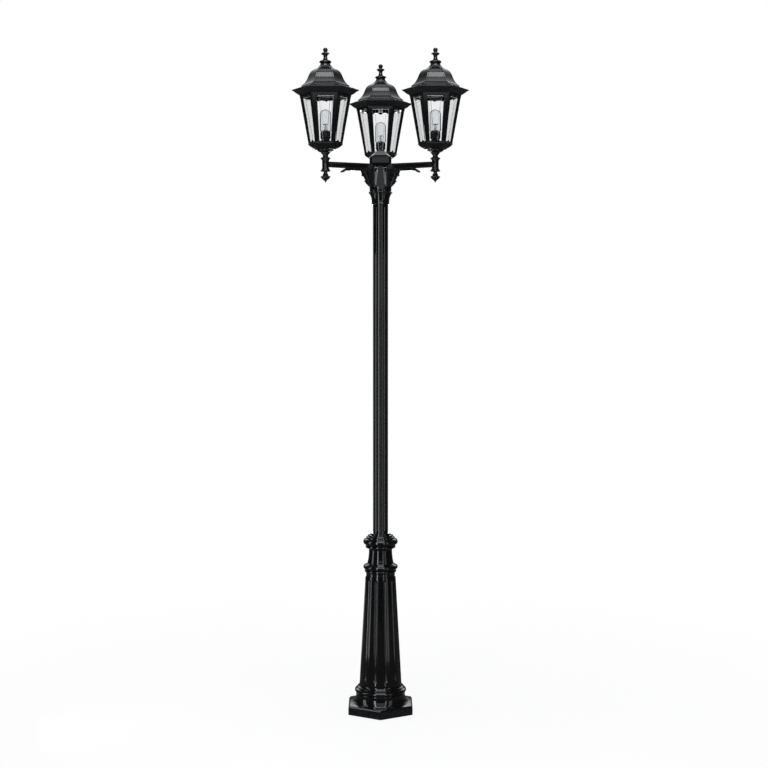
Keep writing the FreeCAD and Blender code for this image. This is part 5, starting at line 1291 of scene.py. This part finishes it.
class POST_OT_bowls(bpy.types.Operator):
    """Build the cups under the lanterns."""
    bl_idname = "post.bowls"
    bl_label = "Bowls"

    def execute(self, context):
        return run_each(build_bowl)


class POST_OT_cages(bpy.types.Operator):
    """Build the lantern frames."""
    bl_idname = "post.cages"
    bl_label = "Cages"

    def execute(self, context):
        return run_each(build_cage)


class POST_OT_panes(bpy.types.Operator):
    """Build the bevelled panes."""
    bl_idname = "post.panes"
    bl_label = "Panes"

    def execute(self, context):
        return run_each(build_panes)


class POST_OT_lampholders(bpy.types.Operator):
    """Build the lampholders."""
    bl_idname = "post.lampholders"
    bl_label = "Lampholders"

    def execute(self, context):
        return run_each(build_lampholder)


class POST_OT_bulbs(bpy.types.Operator):
    """Build the bulbs."""
    bl_idname = "post.bulbs"
    bl_label = "Bulbs"

    def execute(self, context):
        return run_each(build_bulb)


class POST_OT_roofs(bpy.types.Operator):
    """Build the bell roofs."""
    bl_idname = "post.roofs"
    bl_label = "Roofs"

    def execute(self, context):
        return run_each(build_roof)


class POST_OT_finials(bpy.types.Operator):
    """Build the knobs on the roofs."""
    bl_idname = "post.finials"
    bl_label = "Top finials"

    def execute(self, context):
        return run_each(build_finial)


class POST_OT_inside(bpy.types.Operator):
    """Finish the pieces inside the castings."""
    bl_idname = "post.inside"
    bl_label = "Inner pieces"

    def execute(self, context):
        build_inside()
        return {"FINISHED"}


class POST_OT_stage(bpy.types.Operator):
    """Set the floor, the lights, the background and the camera."""
    bl_idname = "post.stage"
    bl_label = "Stage"

    def execute(self, context):
        context.scene.view_settings.view_transform = "Standard"
        build_floor()
        build_world()
        build_camera()
        build_lights()
        return {"FINISHED"}


class POST_PT_looks(bpy.types.Panel):
    """Buttons that build the looks."""
    bl_label = "Lantern post"
    bl_idname = "POST_PT_looks"
    bl_space_type = "VIEW_3D"
    bl_region_type = "UI"
    bl_category = "Lantern post"

    def draw(self, context):
        for setting in ("coat_colour", "roof_colour", "pane_colour", "bulb_colour",
                        "edge_width", "bevel_width", "wear", "light_level"):
            self.layout.prop(looks(), setting)
        for step in STEPS:
            self.layout.operator(step.bl_idname)


STEPS = (POST_OT_pedestal, POST_OT_pole, POST_OT_moulding, POST_OT_hub, POST_OT_arms,
         POST_OT_drops, POST_OT_bowls, POST_OT_cages, POST_OT_panes, POST_OT_lampholders,
         POST_OT_bulbs, POST_OT_roofs, POST_OT_finials, POST_OT_inside, POST_OT_stage)


def register():
    for item in (PostLooks,) + STEPS + (POST_PT_looks,):
        bpy.utils.register_class(item)
    bpy.types.Scene.post_looks = bpy.props.PointerProperty(type=PostLooks)


def unregister():
    del bpy.types.Scene.post_looks
    for item in reversed((PostLooks,) + STEPS + (POST_PT_looks,)):
        bpy.utils.unregister_class(item)


def main():
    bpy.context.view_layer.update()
    register()
    bpy.ops.post.pedestal()
    bpy.ops.post.pole()
    bpy.ops.post.moulding()
    bpy.ops.post.hub()
    bpy.ops.post.arms()
    bpy.ops.post.drops()
    bpy.ops.post.bowls()
    bpy.ops.post.cages()
    bpy.ops.post.panes()
    bpy.ops.post.lampholders()
    bpy.ops.post.bulbs()
    bpy.ops.post.roofs()
    bpy.ops.post.finials()
    bpy.ops.post.inside()
    bpy.ops.post.stage()


if __name__ == "__main__":
    main()
